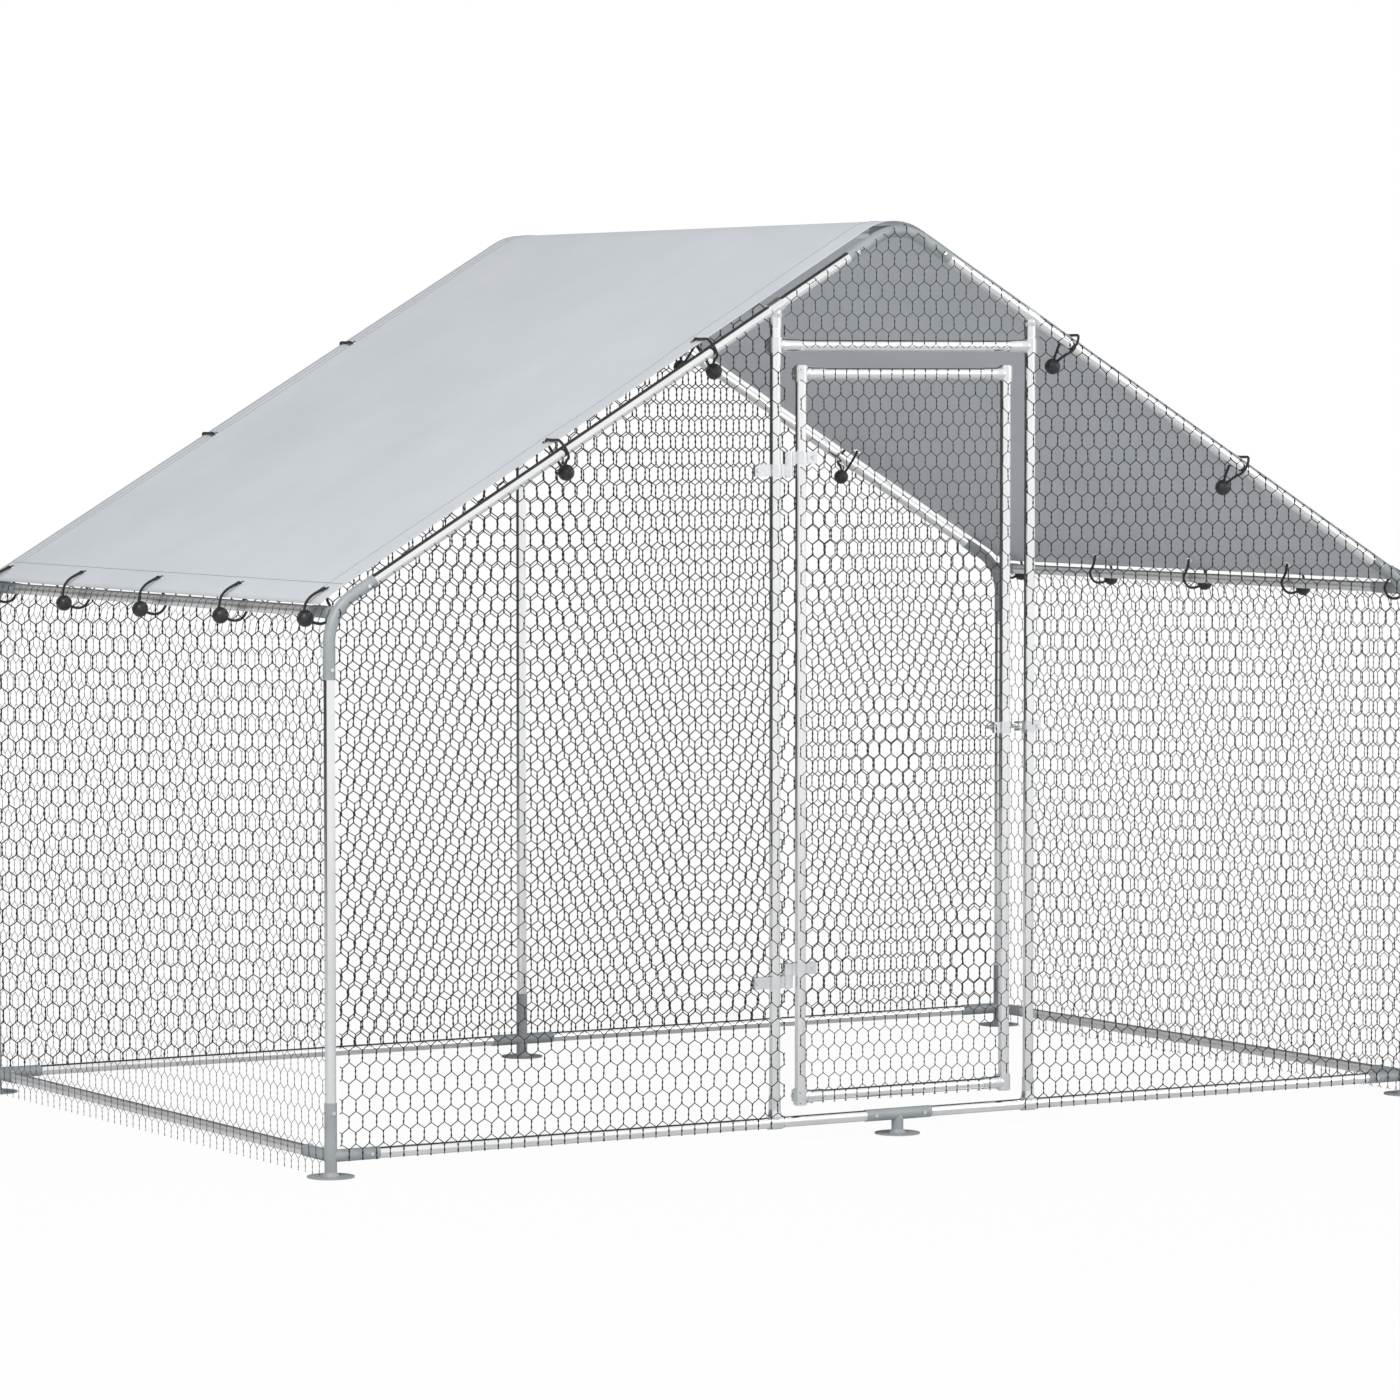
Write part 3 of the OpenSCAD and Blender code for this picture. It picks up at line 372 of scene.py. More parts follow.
def clip_spans(start, end, outline):
    """First and last share of each segment that is inside a convex outline, given counter-clockwise."""
    low, high = np.zeros(len(start)), np.ones(len(start))
    step = end - start
    for p, q in zip(outline, np.roll(outline, -1, axis=0)):
        inward = np.array([-(q - p)[1], (q - p)[0]])
        held, rate = (start - p) @ inward, step @ inward
        with np.errstate(divide="ignore", invalid="ignore"):
            cross = -held / rate
        low = np.where(rate > 1e-12, np.maximum(low, cross), low)
        high = np.where(rate < -1e-12, np.minimum(high, cross), high)
        high = np.where((np.abs(rate) <= 1e-12) & (held < 0), -1.0, high)
    return low, high


def netting(name, lattice, outline, to_world, hook_edges, body, replaced, seed, gauge=1.0, hidden=()):
    """A panel of hexagonal netting: twisted pairs joined by single wires, cut at the outline.

    lattice is (u0, v0, pitch, row, twist); to_world maps u, v and w, the height towards the outside.
    hook_edges gives the outline's edges where the cut ends turn in round a tube, with how far;
    gauge scales the wire's thickness; hidden lists boxes of u and v where clamps and straps cover the wires."""
    u0, v0, pitch, row, twist = lattice
    wire_r = WIRE_R * gauge
    outline = np.asarray(outline, float)
    rng = np.random.default_rng(seed)
    lo, hi = outline.min(axis=0), outline.max(axis=0)
    i0, i1 = int((lo[0] - u0) / pitch) - 3, int((hi[0] - u0) / pitch) + 3
    j0, j1 = int((lo[1] - v0) / row) - 3, int((hi[1] - v0) / row) + 3
    i, j = np.meshgrid(np.arange(i0, i1 + 1), np.arange(j0, j1 + 1))
    shift = 0.5 * (j % 2)
    centre = np.stack([u0 + (i + shift) * pitch, v0 + j * row], axis=-1)
    centre += rng.normal(0, 0.00030, centre.shape)
    lean = rng.normal(0, 0.00035, centre.shape[:2])
    half = np.stack([lean, np.full(lean.shape, twist / 2) + rng.normal(0, 0.0004, lean.shape)], axis=-1)
    bottom, top = centre - half, centre + half
    odd = (j % 2 == 1)[:-1]
    left_end = np.where(odd[..., None], bottom[1:], np.roll(bottom[1:], 1, axis=1))
    right_end = np.where(odd[..., None], np.roll(bottom[1:], -1, axis=1), bottom[1:])
    inner = slice(2, -2)
    pairs = (bottom[:, inner].reshape(-1, 2), top[:, inner].reshape(-1, 2))
    singles = (np.concatenate([top[:-1, inner].reshape(-1, 2)] * 2),
               np.concatenate([left_end[:, inner].reshape(-1, 2), right_end[:, inner].reshape(-1, 2)]))
    pile = Pile()
    out = to_world(np.zeros(1), np.zeros(1), np.ones(1))[0] - to_world(np.zeros(1), np.zeros(1), np.zeros(1))[0]

    def place(points, w):
        return to_world(points[:, 0], points[:, 1], w)

    def add_hooks(points, back):
        """Cut ends that turn in behind the panel where they meet a tube."""
        for edge, depth, spread in hook_edges:
            p, q = outline[edge], outline[(edge + 1) % len(outline)]
            along = (q - p) / np.linalg.norm(q - p)
            outward = np.array([along[1], -along[0]])
            near = np.abs((points - p) @ outward) < 1e-5
            if not near.any():
                continue
            at, run = points[near], back[near]
            turn = at + outward * spread + run * 0.25 * spread
            w = np.zeros(len(at))
            bend = place(turn, w - depth * 0.45)
            straight_rods(pile, place(at, w), bend, wire_r, out)
            straight_rods(pile, bend, place(turn - outward * spread * 0.9, w - depth), wire_r, out)

    for start, end, is_pair in ((*pairs, True), (*singles, False)):
        low, high = clip_spans(start, end, outline)
        kept = high - low > 0.02
        middle = (start + end) / 2
        for ua, ub, va, vb in hidden:
            kept &= (middle < (ua, va)).any(axis=1) | (middle > (ub, vb)).any(axis=1)
        start, end, low, high = start[kept], end[kept], low[kept], high[kept]
        step = end - start
        first, last = start + low[:, None] * step, start + high[:, None] * step
        run = step / np.linalg.norm(step, axis=1, keepdims=True)
        for points, cut, back in ((first, low > 0, -run), (last, high < 1, run)):
            add_hooks(points[cut], back[cut])
        if is_pair:
            share = np.linspace(0, 1, PAIR_RINGS)
            turn = (low[:, None] + (high - low)[:, None] * share) * 2.0 * math.pi
            turn += rng.uniform(0, math.pi, (len(start), 1))
            middle = first[:, None] + share[None, :, None] * (last - first)[:, None]
            axis = place(last, np.zeros(len(last))) - place(first, np.zeros(len(first)))
            axis /= np.linalg.norm(axis, axis=1, keepdims=True)
            a, b = frames(axis, out)
            corner = np.array([[1, 0], [0, 1], [-1, 0], [0, -1]]) * (PAIR_A * gauge, PAIR_B * gauge)
            ca = np.cos(turn)[..., None] * corner[:, 0] - np.sin(turn)[..., None] * corner[:, 1]
            cb = np.sin(turn)[..., None] * corner[:, 0] + np.cos(turn)[..., None] * corner[:, 1]
            flat = middle.reshape(-1, 2)
            world = place(flat, np.zeros(len(flat))).reshape(-1, PAIR_RINGS, 3)
            pile.rods(world[:, :, None] + ca[..., None] * a[:, None, None] + cb[..., None] * b[:, None, None])
        else:
            w = rng.normal(0, 0.0003, len(first))
            straight_rods(pile, place(first, w), place(last, w), wire_r, out)
    panel = pile.object(name, WIRE)
    panel.visible_glossy = False  # so the tubes mirror the plain studio
    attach(panel, body)
    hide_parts(replaced)
    return panel


# Where the middle of the netting stands, at the ends and at the sides
END_W, SIDE_W = HALF_D + 0.0178, HALF_W + 0.0162

# Straps, clamps and latch that stand before the front netting: x from and to, z from and to
HARDWARE = [(-0.388, -0.2895, z - 0.014, z + 0.014) for z in (0.3718, 1.5513)]
HARDWARE += [(-0.3135, -0.230, z - 0.014, z + 0.014) for z in (0.4002, 1.5797)]
HARDWARE += [(-0.3595, -0.3125, 1.877, 1.948), (0.3425, 0.3895, 1.8595, 1.930)]
HARDWARE += [(-0.3517, -0.274, 1.8195, 1.8555), (0.304, 0.3817, 1.8195, 1.8555)]
HARDWARE += [(x, x + 0.0430, z - 0.018, z + 0.018) for x in (-0.2827, 0.2697) for z in (0.103, 1.7725)]
HARDWARE += [(0.265, 0.319, 0.929, 0.955), (0.344, 0.398, 0.929, 0.955)]


def front_plane(u, v, w):
    return np.stack([u, -END_W - w, v], axis=-1)


def front_left_plane(u, v, w):
    """The front plane, with the last wires beside the door turned back round the post, clear of the open door."""
    turn = np.clip((u + 0.335) / 0.010, 0, 1)
    back = 0.008 * turn * turn * (3 - 2 * turn)
    return np.stack([u + 0.6 * back, -END_W - w + back, v], axis=-1)


def cover_edge_plane(u, v, w):
    """Behind the front rafter, just inside the cover's front edge."""
    return np.stack([u, np.full(np.shape(u), COVER_FRONT + 0.001) - w, v], axis=-1)


def rear_plane(u, v, w):
    return np.stack([u, END_W + w, v], axis=-1)


SIDE_TURN = 0.075


def side_plane(sign):
    """A side wall, whose top turns in round the elbow's bend to the eave beam."""

    def plane(u, v, w):
        rise = np.clip((v - (BEAM_Z - SIDE_TURN)) / SIDE_TURN, 0, 1)
        return np.stack([sign * (SIDE_W - 0.0195 * rise ** 2 + w), u, v], axis=-1)

    return plane


# Edges of the panels, and how far their tops stand above the rafters' axes
TOP, UNDER_RAFTER, OVER_RAFTER, COVER_TOP = 0.010, -0.0095, 0.004, 0.0258
FRONT_LOW, REAR_LOW, SIDE_LOW = 0.0355, 0.0400, 0.0025
CORNER, LEFT_END, RIGHT_END = 1.4715, 0.3195, 0.3463
STRIP_OUT, STRIP_IN = 1.440, 0.345
GABLE_LEFT, GABLE_RIGHT, GABLE_LOW = 0.319, 0.349, 1.8320
DOOR_LEFT, DOOR_RIGHT, DOOR_LOW, DOOR_HIGH = -0.2795, 0.3000, 0.0885, 1.7825

netting("net_front_left", (-1.4315, 0.0844, 0.03415, 0.03648, 0.0250),
        [(-CORNER, FRONT_LOW), (-LEFT_END, FRONT_LOW), (-LEFT_END, rafter_z(LEFT_END) + UNDER_RAFTER),
         (-CORNER, rafter_z(CORNER) + UNDER_RAFTER)],
        front_left_plane, [(2, 0.012, 0.003)], "frame", "mesh_front_left", 11, 1.0, HARDWARE)
netting("net_front_left_top", (-1.4115, 0.0788, 0.03426, 0.03660, 0.0251),
        [(-STRIP_OUT, rafter_z(STRIP_OUT) + OVER_RAFTER), (-STRIP_IN, rafter_z(STRIP_IN) + OVER_RAFTER),
         (-STRIP_IN, rafter_z(STRIP_IN) + COVER_TOP), (-STRIP_OUT, rafter_z(STRIP_OUT) + COVER_TOP)],
        cover_edge_plane, [], "frame", "mesh_front_left", 19)
netting("net_front_right", (0.3991, 0.0836, 0.03454, 0.03649, 0.0250),
        [(RIGHT_END, FRONT_LOW), (CORNER, FRONT_LOW), (CORNER, rafter_z(CORNER) + TOP),
         (RIGHT_END, rafter_z(RIGHT_END) + TOP)],
        front_plane, [(2, 0.012, 0.002)], "frame", "mesh_front_right", 12, 1.0, HARDWARE)
netting("net_front_gable", (-0.2876, 1.8900, 0.0330, 0.0367, 0.0250),
        [(-GABLE_LEFT, GABLE_LOW), (GABLE_RIGHT, GABLE_LOW), (GABLE_RIGHT, rafter_z(GABLE_RIGHT) + TOP),
         (0.0, rafter_z(0.0) + TOP - 0.012), (-GABLE_LEFT, rafter_z(GABLE_LEFT) + TOP)],
        front_plane, [(2, 0.012, 0.002), (3, 0.012, 0.002)], "frame", "mesh_front_gable", 13, 0.74, HARDWARE)
netting("net_door", (-0.2155, 0.1686, 0.03085, 0.03336, 0.0225),
        [(DOOR_LEFT, DOOR_LOW), (DOOR_RIGHT, DOOR_LOW), (DOOR_RIGHT, DOOR_HIGH), (DOOR_LEFT, DOOR_HIGH)],
        front_plane, [], "door", "door_mesh", 14, 0.80, HARDWARE)
for wall, sign, lattice, gauge, seed in (("left", -1, (-0.8470, 0.1649, 0.03433, 0.03713, 0.0252), 0.48, 15),
                                         ("right", 1, (-0.7957, 0.1313, 0.03434, 0.03709, 0.0252), 0.65, 16)):
    netting("net_%s_wall" % wall, lattice,
            [(-HALF_D, SIDE_LOW), (HALF_D, SIDE_LOW), (HALF_D, BEAM_Z + 0.006), (-HALF_D, BEAM_Z + 0.006)],
            side_plane(sign), [(1, 0.012, 0.003), (2, 0.012, 0.002), (3, 0.012, 0.003)],
            "frame", "mesh_%s_wall" % wall, seed, gauge)
for half_name, x0, x1, seed in (("left", -CORNER, 0.0, 17), ("right", 0.0, CORNER, 18)):
    netting("net_rear_" + half_name, (-0.0014, 0.0191, 0.0383, 0.04145, 0.0284),
            [(x0, REAR_LOW), (x1, REAR_LOW), (x1, rafter_z(x1) + TOP), (x0, rafter_z(x0) + TOP)],
            rear_plane, [(0, 0.012, 0.003), (2, 0.012, 0.002)], "frame", "mesh_rear_wall", seed, 1.3)

# Roof cover: one taut sheet with turned hems and a hole for each eyelet

COVER_T = 0.0012
HEM_EAVE, HEM_FRONT, HEM_REAR = 0.076, 0.077, 0.060
REAR_SEAT = 0.885  # the sheet lies flat from here to its rear edge
STITCH, STITCH_STEP = 0.0066, 0.008


def cover_point(s, y, n):
    """A point of the cover at signed slope distance s from the ridge line, y, and n above the rafter's line."""
    s, y, n = np.broadcast_arrays(np.asarray(s, float), np.asarray(y, float), np.asarray(n, float))
    t = np.abs(s)
    turn = np.minimum(t / RIDGE_TANGENT, 1.0) * PITCH
    bent_x, bent_z = (BEND_R + n) * np.sin(turn), RIDGE_CENTRE_Z + (BEND_R + n) * np.cos(turn)
    flat_x, flat_z = t * math.cos(PITCH) + n * math.sin(PITCH), APEX_H - t * math.sin(PITCH) + n * math.cos(PITCH)
    on_bend = t < RIDGE_TANGENT
    return np.stack([np.sign(s) * np.where(on_bend, bent_x, flat_x), y, np.where(on_bend, bent_z, flat_z)], axis=-1)


EYELETS = [(side * EYELET_S, y) for side, y in EAVE_TIES]
EYELETS += [(side * s, end * (HALF_D - TIE_REACH)) for side, s, end in RAFTER_TIES]


def cover_lift(s, y):
    """How far the stretched sheet leaves its plane: a light sag, pulls at the eyelets, a droop at the eave edge."""
    t = np.clip((np.abs(s) - 0.10) / (COVER_END - 0.20), 0, 1)
    across = np.clip((y - COVER_FRONT) / 0.10, 0, 1) * np.clip((REAR_SEAT - y) / 0.12, 0, 1)
    lift = -0.007 * np.sin(math.pi * t) ** 2 * across
    lift += 0.0009 * np.sin(7.3 * s + 2.1) * np.sin(5.1 * y + 0.7) * np.sin(math.pi * t) * across
    calm = np.ones_like(lift)
    for es, ey in EYELETS:
        ds, dy = s - es, y - ey
        far = np.hypot(ds, dy)
        pull = np.exp(-far / 0.075) * 0.0012
        lift += pull * np.sin(7 * np.arctan2(dy, ds) + 3 * es) * np.clip((far - 0.013) / 0.03, 0, 1)
        calm *= np.clip((far - 0.013) / 0.10, 0, 1)
    seated = np.clip((REAR_SEAT - y) / 0.03, 0, 1)
    droop = np.clip((np.abs(s) - EYELET_S) / (COVER_END - EYELET_S), 0, 1)
    return lift * calm ** 0.5 * seated - 0.004 * droop ** 1.5


def roof_cover():
    half = 0.009
    s_lines = list(np.linspace(-COVER_END, COVER_END, 171))
    y_lines = list(np.linspace(COVER_FRONT, COVER_REAR, 89))
    for sign in (-1, 1):
        s_lines += [sign * (COVER_END - HEM_EAVE + d) for d in (-0.003, 0.0, 0.003)]
        s_lines += [sign * RIDGE_TANGENT * k / 6 for k in range(1, 7)]
    y_lines += [COVER_FRONT + HEM_FRONT + d for d in (-0.003, 0.0, 0.003)]
    y_lines += [COVER_REAR - HEM_REAR + d for d in (-0.003, 0.0, 0.003)]
    s_marks = sorted({round(es + d, 6) for es, _ in EYELETS for d in (-half, 0.0, half)})
    y_marks = sorted({round(ey + d, 6) for _, ey in EYELETS for d in (-half, 0.0, half)})

    def thinned(lines, marks):
        kept = [v for v in lines if min(abs(v - m) for m in marks) > 0.0035]
        return np.array(sorted(kept + marks))

    s, y = thinned(s_lines, s_marks), thinned(y_lines, y_marks)
    ns, ny = len(s), len(y)
    points = np.stack(np.meshgrid(s, y, indexing="ij"), axis=-1).reshape(-1, 2)
    index = np.arange(ns * ny).reshape(ns, ny)
    open_cells = np.ones((ns - 1, ny - 1), bool)
    extra, faces, rims = [], [], []
    for es, ey in EYELETS:
        a0, a1 = np.abs(s - (es - half)).argmin(), np.abs(s - (es + half)).argmin()
        b0, b1 = np.abs(y - (ey - half)).argmin(), np.abs(y - (ey + half)).argmin()
        open_cells[a0:a1, b0:b1] = False
        loop = [index[a, b0] for a in range(a0, a1)] + [index[a1, b] for b in range(b0, b1)]
        loop += [index[a, b1] for a in range(a1, a0, -1)] + [index[a0, b] for b in range(b1, b0, -1)]
        ring = []
        for v in loop:
            away = points[v] - (es, ey)
            away /= np.hypot(*away)
            ring.append(len(points) + len(extra))
            extra.append((es + away[0] * EYELET_HOLE_R, ey + away[1] * EYELET_HOLE_R))
        for k in range(len(loop)):
            n = (k + 1) % len(loop)
            faces.append((loop[k], loop[n], ring[n], ring[k]))
        rims.append(ring[::-1])
    a, b = np.nonzero(open_cells)
    faces = np.concatenate([np.stack([index[a, b], index[a + 1, b], index[a + 1, b + 1], index[a, b + 1]], axis=-1),
                            np.array(faces)])
    points = np.concatenate([points, np.array(extra)])
    rims.append(list(index[:, 0]) + list(index[-1, 1:]) + list(index[-2::-1, -1]) + list(index[0, -2:0:-1]))
    sp, yp = points[:, 0], points[:, 1]
    lift = cover_lift(sp, yp)
    hem = (np.abs(sp) > COVER_END - HEM_EAVE - 1e-6) | (yp < COVER_FRONT + HEM_FRONT + 1e-6)
    hem |= yp > COVER_REAR - HEM_REAR - 1e-6
    near_eyelet = np.min([np.hypot(sp - es, yp - ey) for es, ey in EYELETS], axis=0) < 0.016
    thick = COVER_T / 2 + np.where(hem & ~near_eyelet, 0.00025, 0.0)
    above = cover_point(sp, yp, COVER_MID + lift + thick)
    below = cover_point(sp, yp, COVER_MID + lift - thick)
    total = len(points)
    quads = [faces, faces[:, ::-1] + total]
    for rim in rims:
        rim = np.array(rim)
        nxt = np.roll(rim, -1)
        quads.append(np.stack([rim, rim + total, nxt + total, nxt], axis=-1))
    return mesh_object("cover_sheet", np.concatenate([above, below]), np.concatenate(quads), COVER, True)


cover = roof_cover()
cover.visible_glossy = False  # as for the netting
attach(cover, "frame")
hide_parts("roof_cover")


def stitch_rows():
    """Lockstitch along the hems: short raised threads on the upper face."""
    pile = Pile()
    rows = [("y", sign * (COVER_END - HEM_EAVE)) for sign in (-1, 1)]
    rows += [("s", COVER_FRONT + HEM_FRONT), ("s", COVER_REAR - HEM_REAR), ("s", COVER_REAR - HEM_REAR + 0.022)]
    for along, place in rows:
        span = (COVER_FRONT + 0.01, COVER_REAR - 0.01) if along == "y" else (-COVER_END + 0.01, COVER_END - 0.01)
        start = np.arange(span[0], span[1] - STITCH_STEP, STITCH_STEP)
        ends = []
        for t in (start, start + STITCH):
            sv, yv = (np.full(len(t), place), t) if along == "y" else (t, np.full(len(t), place))
            clear = np.min([np.hypot(sv - es, yv - ey) for es, ey in EYELETS], axis=0) > 0.0125
            ends.append((cover_point(sv, yv, COVER_MID + cover_lift(sv, yv) + COVER_T / 2 + 0.0006), clear))
        kept = ends[0][1] & ends[1][1]
        hint = (0.0, 0.0, 1.0)
        straight_rods(pile, ends[0][0][kept], ends[1][0][kept], 0.0008, hint)
    return pile.object("cover_stitching", THREAD)


stitching = stitch_rows()
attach(stitching, "frame")

# Elastic ties: a loop of cord from its ball round the tube and through the eyelet


def smooth_loop(points, steps):
    """A Catmull-Rom curve through the points, open, with steps points between neighbours."""
    p = np.asarray(points, float)
    p = np.concatenate([[2 * p[0] - p[1]], p, [2 * p[-1] - p[-2]]])
    t = np.linspace(0, 1, steps, endpoint=False)[:, None]
    run = []
    for k in range(1, len(p) - 2):
        a, b, c, d = p[k - 1], p[k], p[k + 1], p[k + 2]
        square, cube = 2 * a - 5 * b + 4 * c - d, 3 * b - a - 3 * c + d
        run.append(0.5 * (2 * b + (c - a) * t + square * t ** 2 + cube * t ** 3))
    return np.concatenate(run + [p[-2:-1]])


def cord_along(pile, path, radius, sides=8):
    path = np.asarray(path)
    tangent = np.gradient(path, axis=0)
    tangent /= np.linalg.norm(tangent, axis=1, keepdims=True)
    hint = np.array([0.0, 1.0, 0.0]) if np.ptp(path[:, 1]) < np.ptp(path[:, 0]) else np.array([1.0, 0.0, 0.0])
    a, b = frames(tangent, hint)
    angle = np.arange(sides) * 2 * math.pi / sides
    ring = radius * (np.cos(angle)[None, :, None] * a[:, None] + np.sin(angle)[None, :, None] * b[:, None])
    pile.rods((path[:, None] + ring)[None])
    for end, order in ((0, -1), (len(path) - 1, 1)):
        base = pile.count - len(path) * sides + end * sides
        loop = (base + np.arange(sides))[::order]
        for k in range(1, sides - 2, 2):
            pile.quads.append(np.array([[loop[0], loop[k], loop[k + 1], loop[k + 2]]]))


def eave_tie(side, y):
    """Points of an eave tie's loop, from its ball over the cover's edge, through the eyelet and under the beam."""
    ball = (BEAM_X + 0.0430, BEAM_Z - (0.0220 if side < 0 and y > -0.8 else 0.0140))
    ex, ez = slope(EYELET_S, COVER_MID)
    out = [(0.0535, -0.0540), (0.0520, -0.0410), (0.0490, -0.0290), (0.0425, -0.0195), (0.0340, -0.0120),
           (0.0240, -0.0060), (0.0120, -0.0003), (0.0035, 0.0042), (0.0, 0.0), (-0.0020, -0.0100), (-0.0060, -0.0260)]
    under = [(-0.0670, 0.0160), (-0.0620, 0.0010), (-0.0510, -0.0095), (-0.0360, -0.0125), (-0.0200, -0.0090),
             (-0.006, -0.001)]
    run = [(ball[0], ball[1] + 0.006)] + [(ex + dx, ez + dz) for dx, dz in out]
    run += [(ball[0] + dx, ball[1] + dz) for dx, dz in under]
    return [(side * x, y, z) for x, z in run], (side * ball[0], y, ball[1])


def rafter_tie(side, s, end):
    """Points of a rafter tie's loop, square to the rafter, from its ball round the tube and through the eyelet.

    The route is in millimetres: inwards from the rafter's axis, and above it."""
    run = [(35.5, -50.0), (24.0, -36.0), (8.0, -24.0), (-6.0, -18.0), (-14.0, -9.0), (-16.5, 2.0), (-15.5, 12.0),
           (-11.0, 22.0), (-4.5, 28.6), (8.0, 29.6), (25.0, 29.2), (42.0, 30.0), (45.0, 30.4), (50.5, 30.0),
           (55.0, 24.3), (55.5, 12.0), (54.0, -8.0), (50.0, -28.0), (45.0, -42.0), (40.0, -50.0)]

    def place(inside, above):
        x, z = slope(s, above / 1000)
        return side * x, end * (HALF_D - inside / 1000), z

    return [place(*point) for point in run], place(38.5, -56.0)


def tie_ball(pile, centre, turn):
    """A moulded ball with a parting groove and a flat round its cord hole."""
    rows, sides = 18, 24
    polar = np.linspace(0.0, math.pi, rows + 1)
    radius = np.full(rows + 1, BALL_R)
    radius[rows // 2] -= 0.0005
    radius[0], radius[-1] = BALL_R - 0.0015, BALL_R - 0.0015
    ring_r = np.maximum(np.sin(polar) * radius, 0.0030)
    height = np.cos(polar) * radius
    height[0], height[-1] = height[1], height[-2]
    angle = np.arange(sides) * 2 * math.pi / sides
    rings = np.stack([ring_r[:, None] * np.cos(angle), ring_r[:, None] * np.sin(angle),
                      np.repeat(height[:, None], sides, axis=1)], axis=-1)
    cup = rings[[0, -1]].copy()
    cup[0, :, 2] -= 0.004
    cup[1, :, 2] += 0.004
    rings = np.concatenate([cup[:1], rings, cup[1:]])[::-1]
    c, s = math.cos(turn), math.sin(turn)
    tilt = np.array([[c, 0, s], [0, 1, 0], [-s, 0, c]])
    rings = rings @ tilt.T + np.asarray(centre)
    pile.rods(rings[None])
    for end, order in ((0, -1), (len(rings) - 1, 1)):
        base = pile.count - len(rings) * sides + end * sides
        loop = (base + np.arange(sides))[::order]
        for k in range(1, sides - 2, 2):
            pile.quads.append(np.array([[loop[0], loop[k], loop[k + 1], loop[k + 2]]]))


cord_pile, ball_pile = Pile(), Pile()
ties = [eave_tie(*at) for at in EAVE_TIES] + [rafter_tie(*at) for at in RAFTER_TIES]
for order, (route, ball_at) in enumerate(ties):
    cord_along(cord_pile, smooth_loop(route, 6), CORD_D / 2)
    tie_ball(ball_pile, ball_at, 0.5 + 0.37 * order)
for piece, replaced, slot_name in ((cord_pile.object("elastic_loops", CORD, True), "tie_cords", "cord"),
                                   (ball_pile.object("elastic_balls", BALL, True), "tie_balls", "ball")):
    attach(piece, "frame")
    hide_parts(replaced)

# Floor, light and background

CAMERA_WHITE, GLOSSY_WHITE = 0.96, 0.09
FLOOR_REACH, FLOOR_Z = 8.0, -0.0006

floor = Shader("floor")
floor_noise = floor.noise(2.0, 2.0)
floor.set(Base_Color=floor.ramp(floor_noise, [(0.3, (0.71, 0.71, 0.71)), (0.7, (0.73, 0.73, 0.73))]), Roughness=0.9)
path = floor.node("ShaderNodeLightPath")
white = floor.node("ShaderNodeEmission")
white.inputs["Strength"].default_value = 1.0
blend = floor.node("ShaderNodeMixShader")
seen_white = floor.math("MULTIPLY", path.outputs["Is Camera Ray"], CAMERA_WHITE)
mirrored_white = floor.math("MULTIPLY", path.outputs["Is Glossy Ray"], GLOSSY_WHITE)
floor.link(floor.math("ADD", seen_white, mirrored_white), blend.inputs["Fac"])
floor.link(floor.bsdf.outputs["BSDF"], blend.inputs[1])
floor.link(white.outputs["Emission"], blend.inputs[2])
floor.link(blend.outputs["Shader"], floor.out.inputs["Surface"])
corners = [(x * FLOOR_REACH, y * FLOOR_REACH, FLOOR_Z) for x, y in ((-1, -1), (1, -1), (1, 1), (-1, 1))]
ground = mesh_object("ground", corners, [(0, 1, 2, 3)], floor.mat)

world = bpy.data.worlds.new("studio")
scene.world = world
world.use_nodes = True
tree = world.node_tree
tree.nodes.clear()
out = tree.nodes.new("ShaderNodeOutputWorld")
rays = tree.nodes.new("ShaderNodeLightPath")
place = tree.nodes.new("ShaderNodeTexCoord").outputs["Generated"]


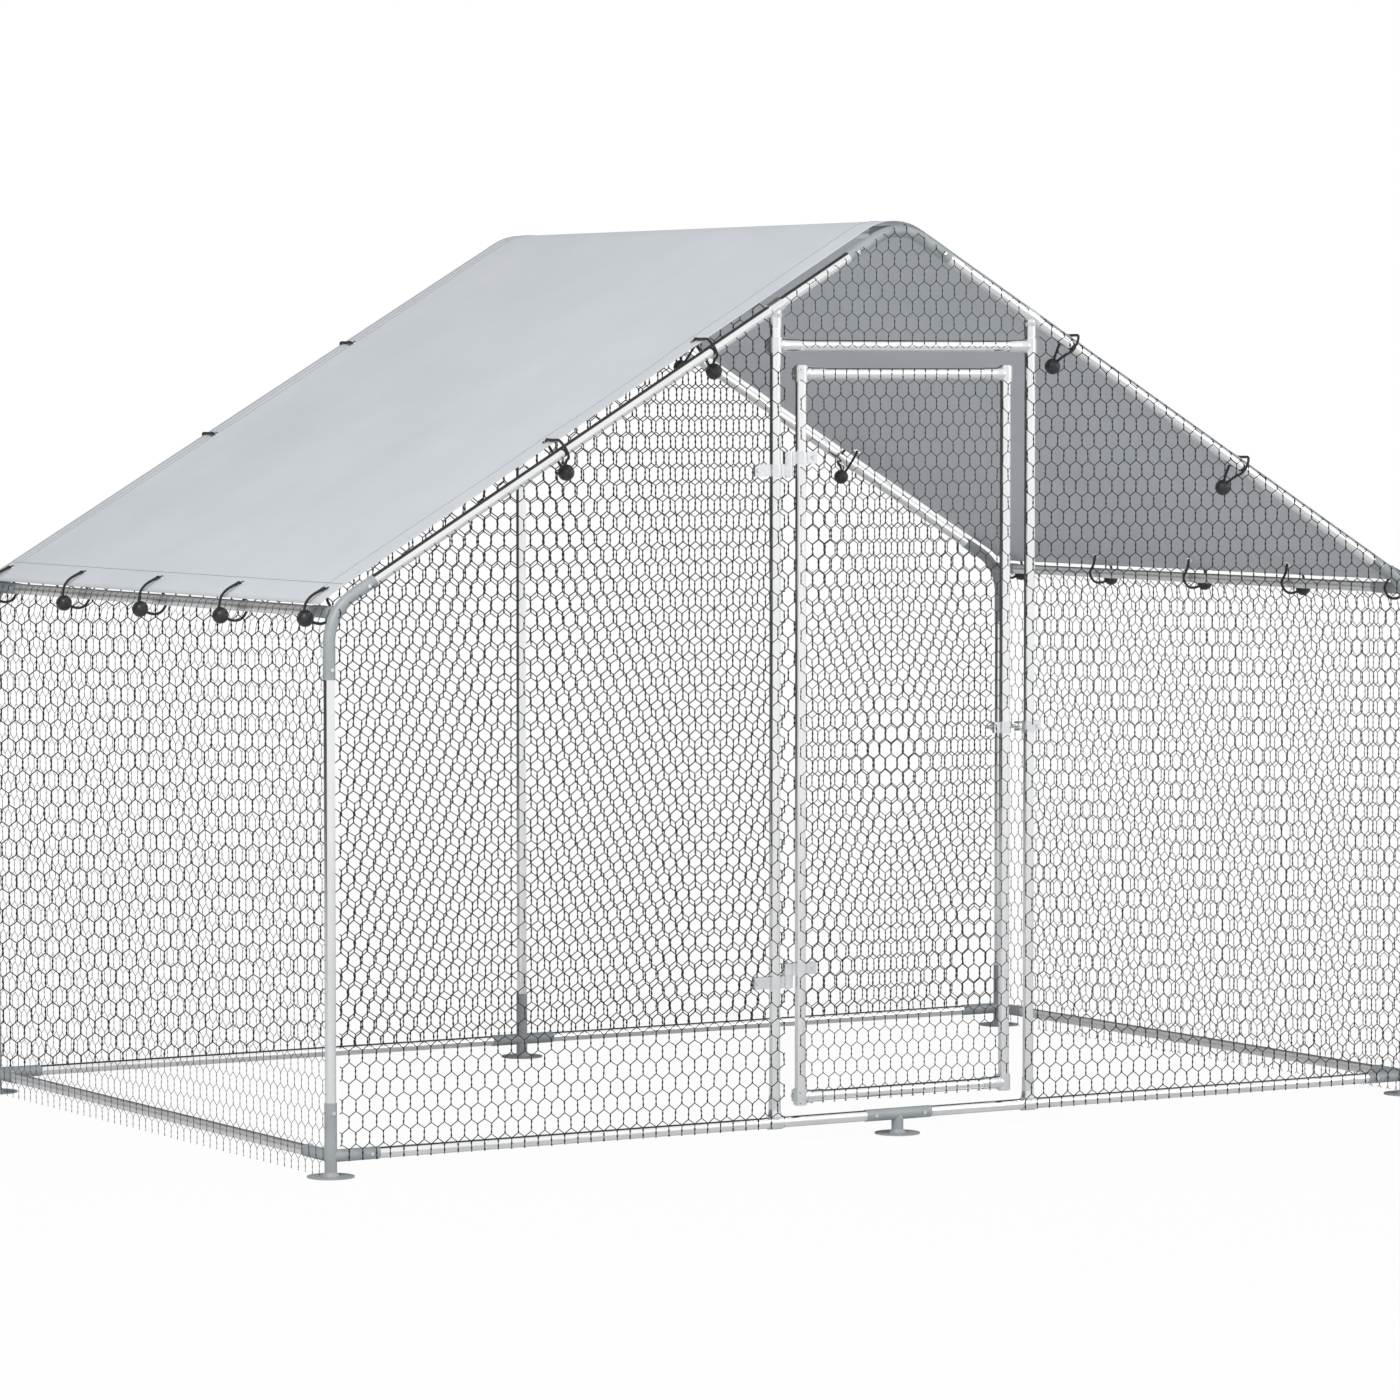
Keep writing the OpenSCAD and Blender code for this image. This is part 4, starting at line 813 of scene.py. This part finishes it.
def world_ramp(direction, stops):
    """Grey by how far a ray points along a direction."""
    along = tree.nodes.new("ShaderNodeVectorMath")
    along.operation = "DOT_PRODUCT"
    tree.links.new(place, along.inputs[0])
    along.inputs[1].default_value = Vector(direction).normalized()
    share = tree.nodes.new("ShaderNodeMapRange")
    share.inputs["From Min"].default_value = -1.0
    tree.links.new(along.outputs["Value"], share.inputs["Value"])
    ramp = tree.nodes.new("ShaderNodeValToRGB")
    while len(ramp.color_ramp.elements) < len(stops):
        ramp.color_ramp.elements.new(0.5)
    for element, (where, grey) in zip(ramp.color_ramp.elements, stops):
        element.position = where / 2 + 0.5
        element.color = (grey, grey, grey, 1.0)
    tree.links.new(share.outputs["Result"], ramp.inputs["Fac"])
    return ramp.outputs["Color"]


def world_mix(fac, a, b, kind="MIX"):
    mixed = tree.nodes.new("ShaderNodeMix")
    mixed.data_type, mixed.blend_type = "RGBA", kind
    for name, value in (("Factor_Float", fac), ("A_Color", a), ("B_Color", b)):
        socket = next(s for s in mixed.inputs if s.identifier == name)
        if isinstance(value, float):
            socket.default_value = value
        elif isinstance(value, tuple):
            socket.default_value = value
        else:
            tree.links.new(value, socket)
    return next(s for s in mixed.outputs if s.identifier == "Result_Color")


# The light is soft all round; metal shows the white studio with a dark flag behind on the left
room = world_ramp((0, 0, 1), [(-0.2, 0.34), (0.7, 0.66)])
shown = world_ramp((-0.42, 0.76, 0.50), [(0.16, 1.0), (0.36, 0.05), (0.88, 0.05), (0.96, 0.60)])
lit = world_mix(rays.outputs["Is Glossy Ray"], room, shown)
seen = world_mix(rays.outputs["Is Camera Ray"], lit, (1.0, 1.0, 1.0, 1.0))
seen = world_mix(rays.outputs["Is Transmission Ray"], seen, (1.0, 1.0, 1.0, 1.0))
background = tree.nodes.new("ShaderNodeBackground")
tree.links.new(seen, background.inputs["Color"])
tree.links.new(background.outputs["Background"], out.inputs["Surface"])


def soft_lamp(name, place, target, size, power):
    data = bpy.data.lights.new(name, "AREA")
    data.shape = "RECTANGLE"
    data.size, data.size_y = size
    data.energy = power
    lamp = bpy.data.objects.new(name, data)
    lamp.location = place
    lamp.rotation_euler = (Vector(target) - Vector(place)).to_track_quat("-Z", "Y").to_euler()
    scene.collection.objects.link(lamp)


soft_lamp("key", (-5.5, -4.5, 6.5), (0, 0, 1.0), (4.0, 4.0), 300.0)
soft_lamp("fill", (6.0, -6.0, 4.0), (0, 0, 1.0), (4.0, 4.0), 110.0)
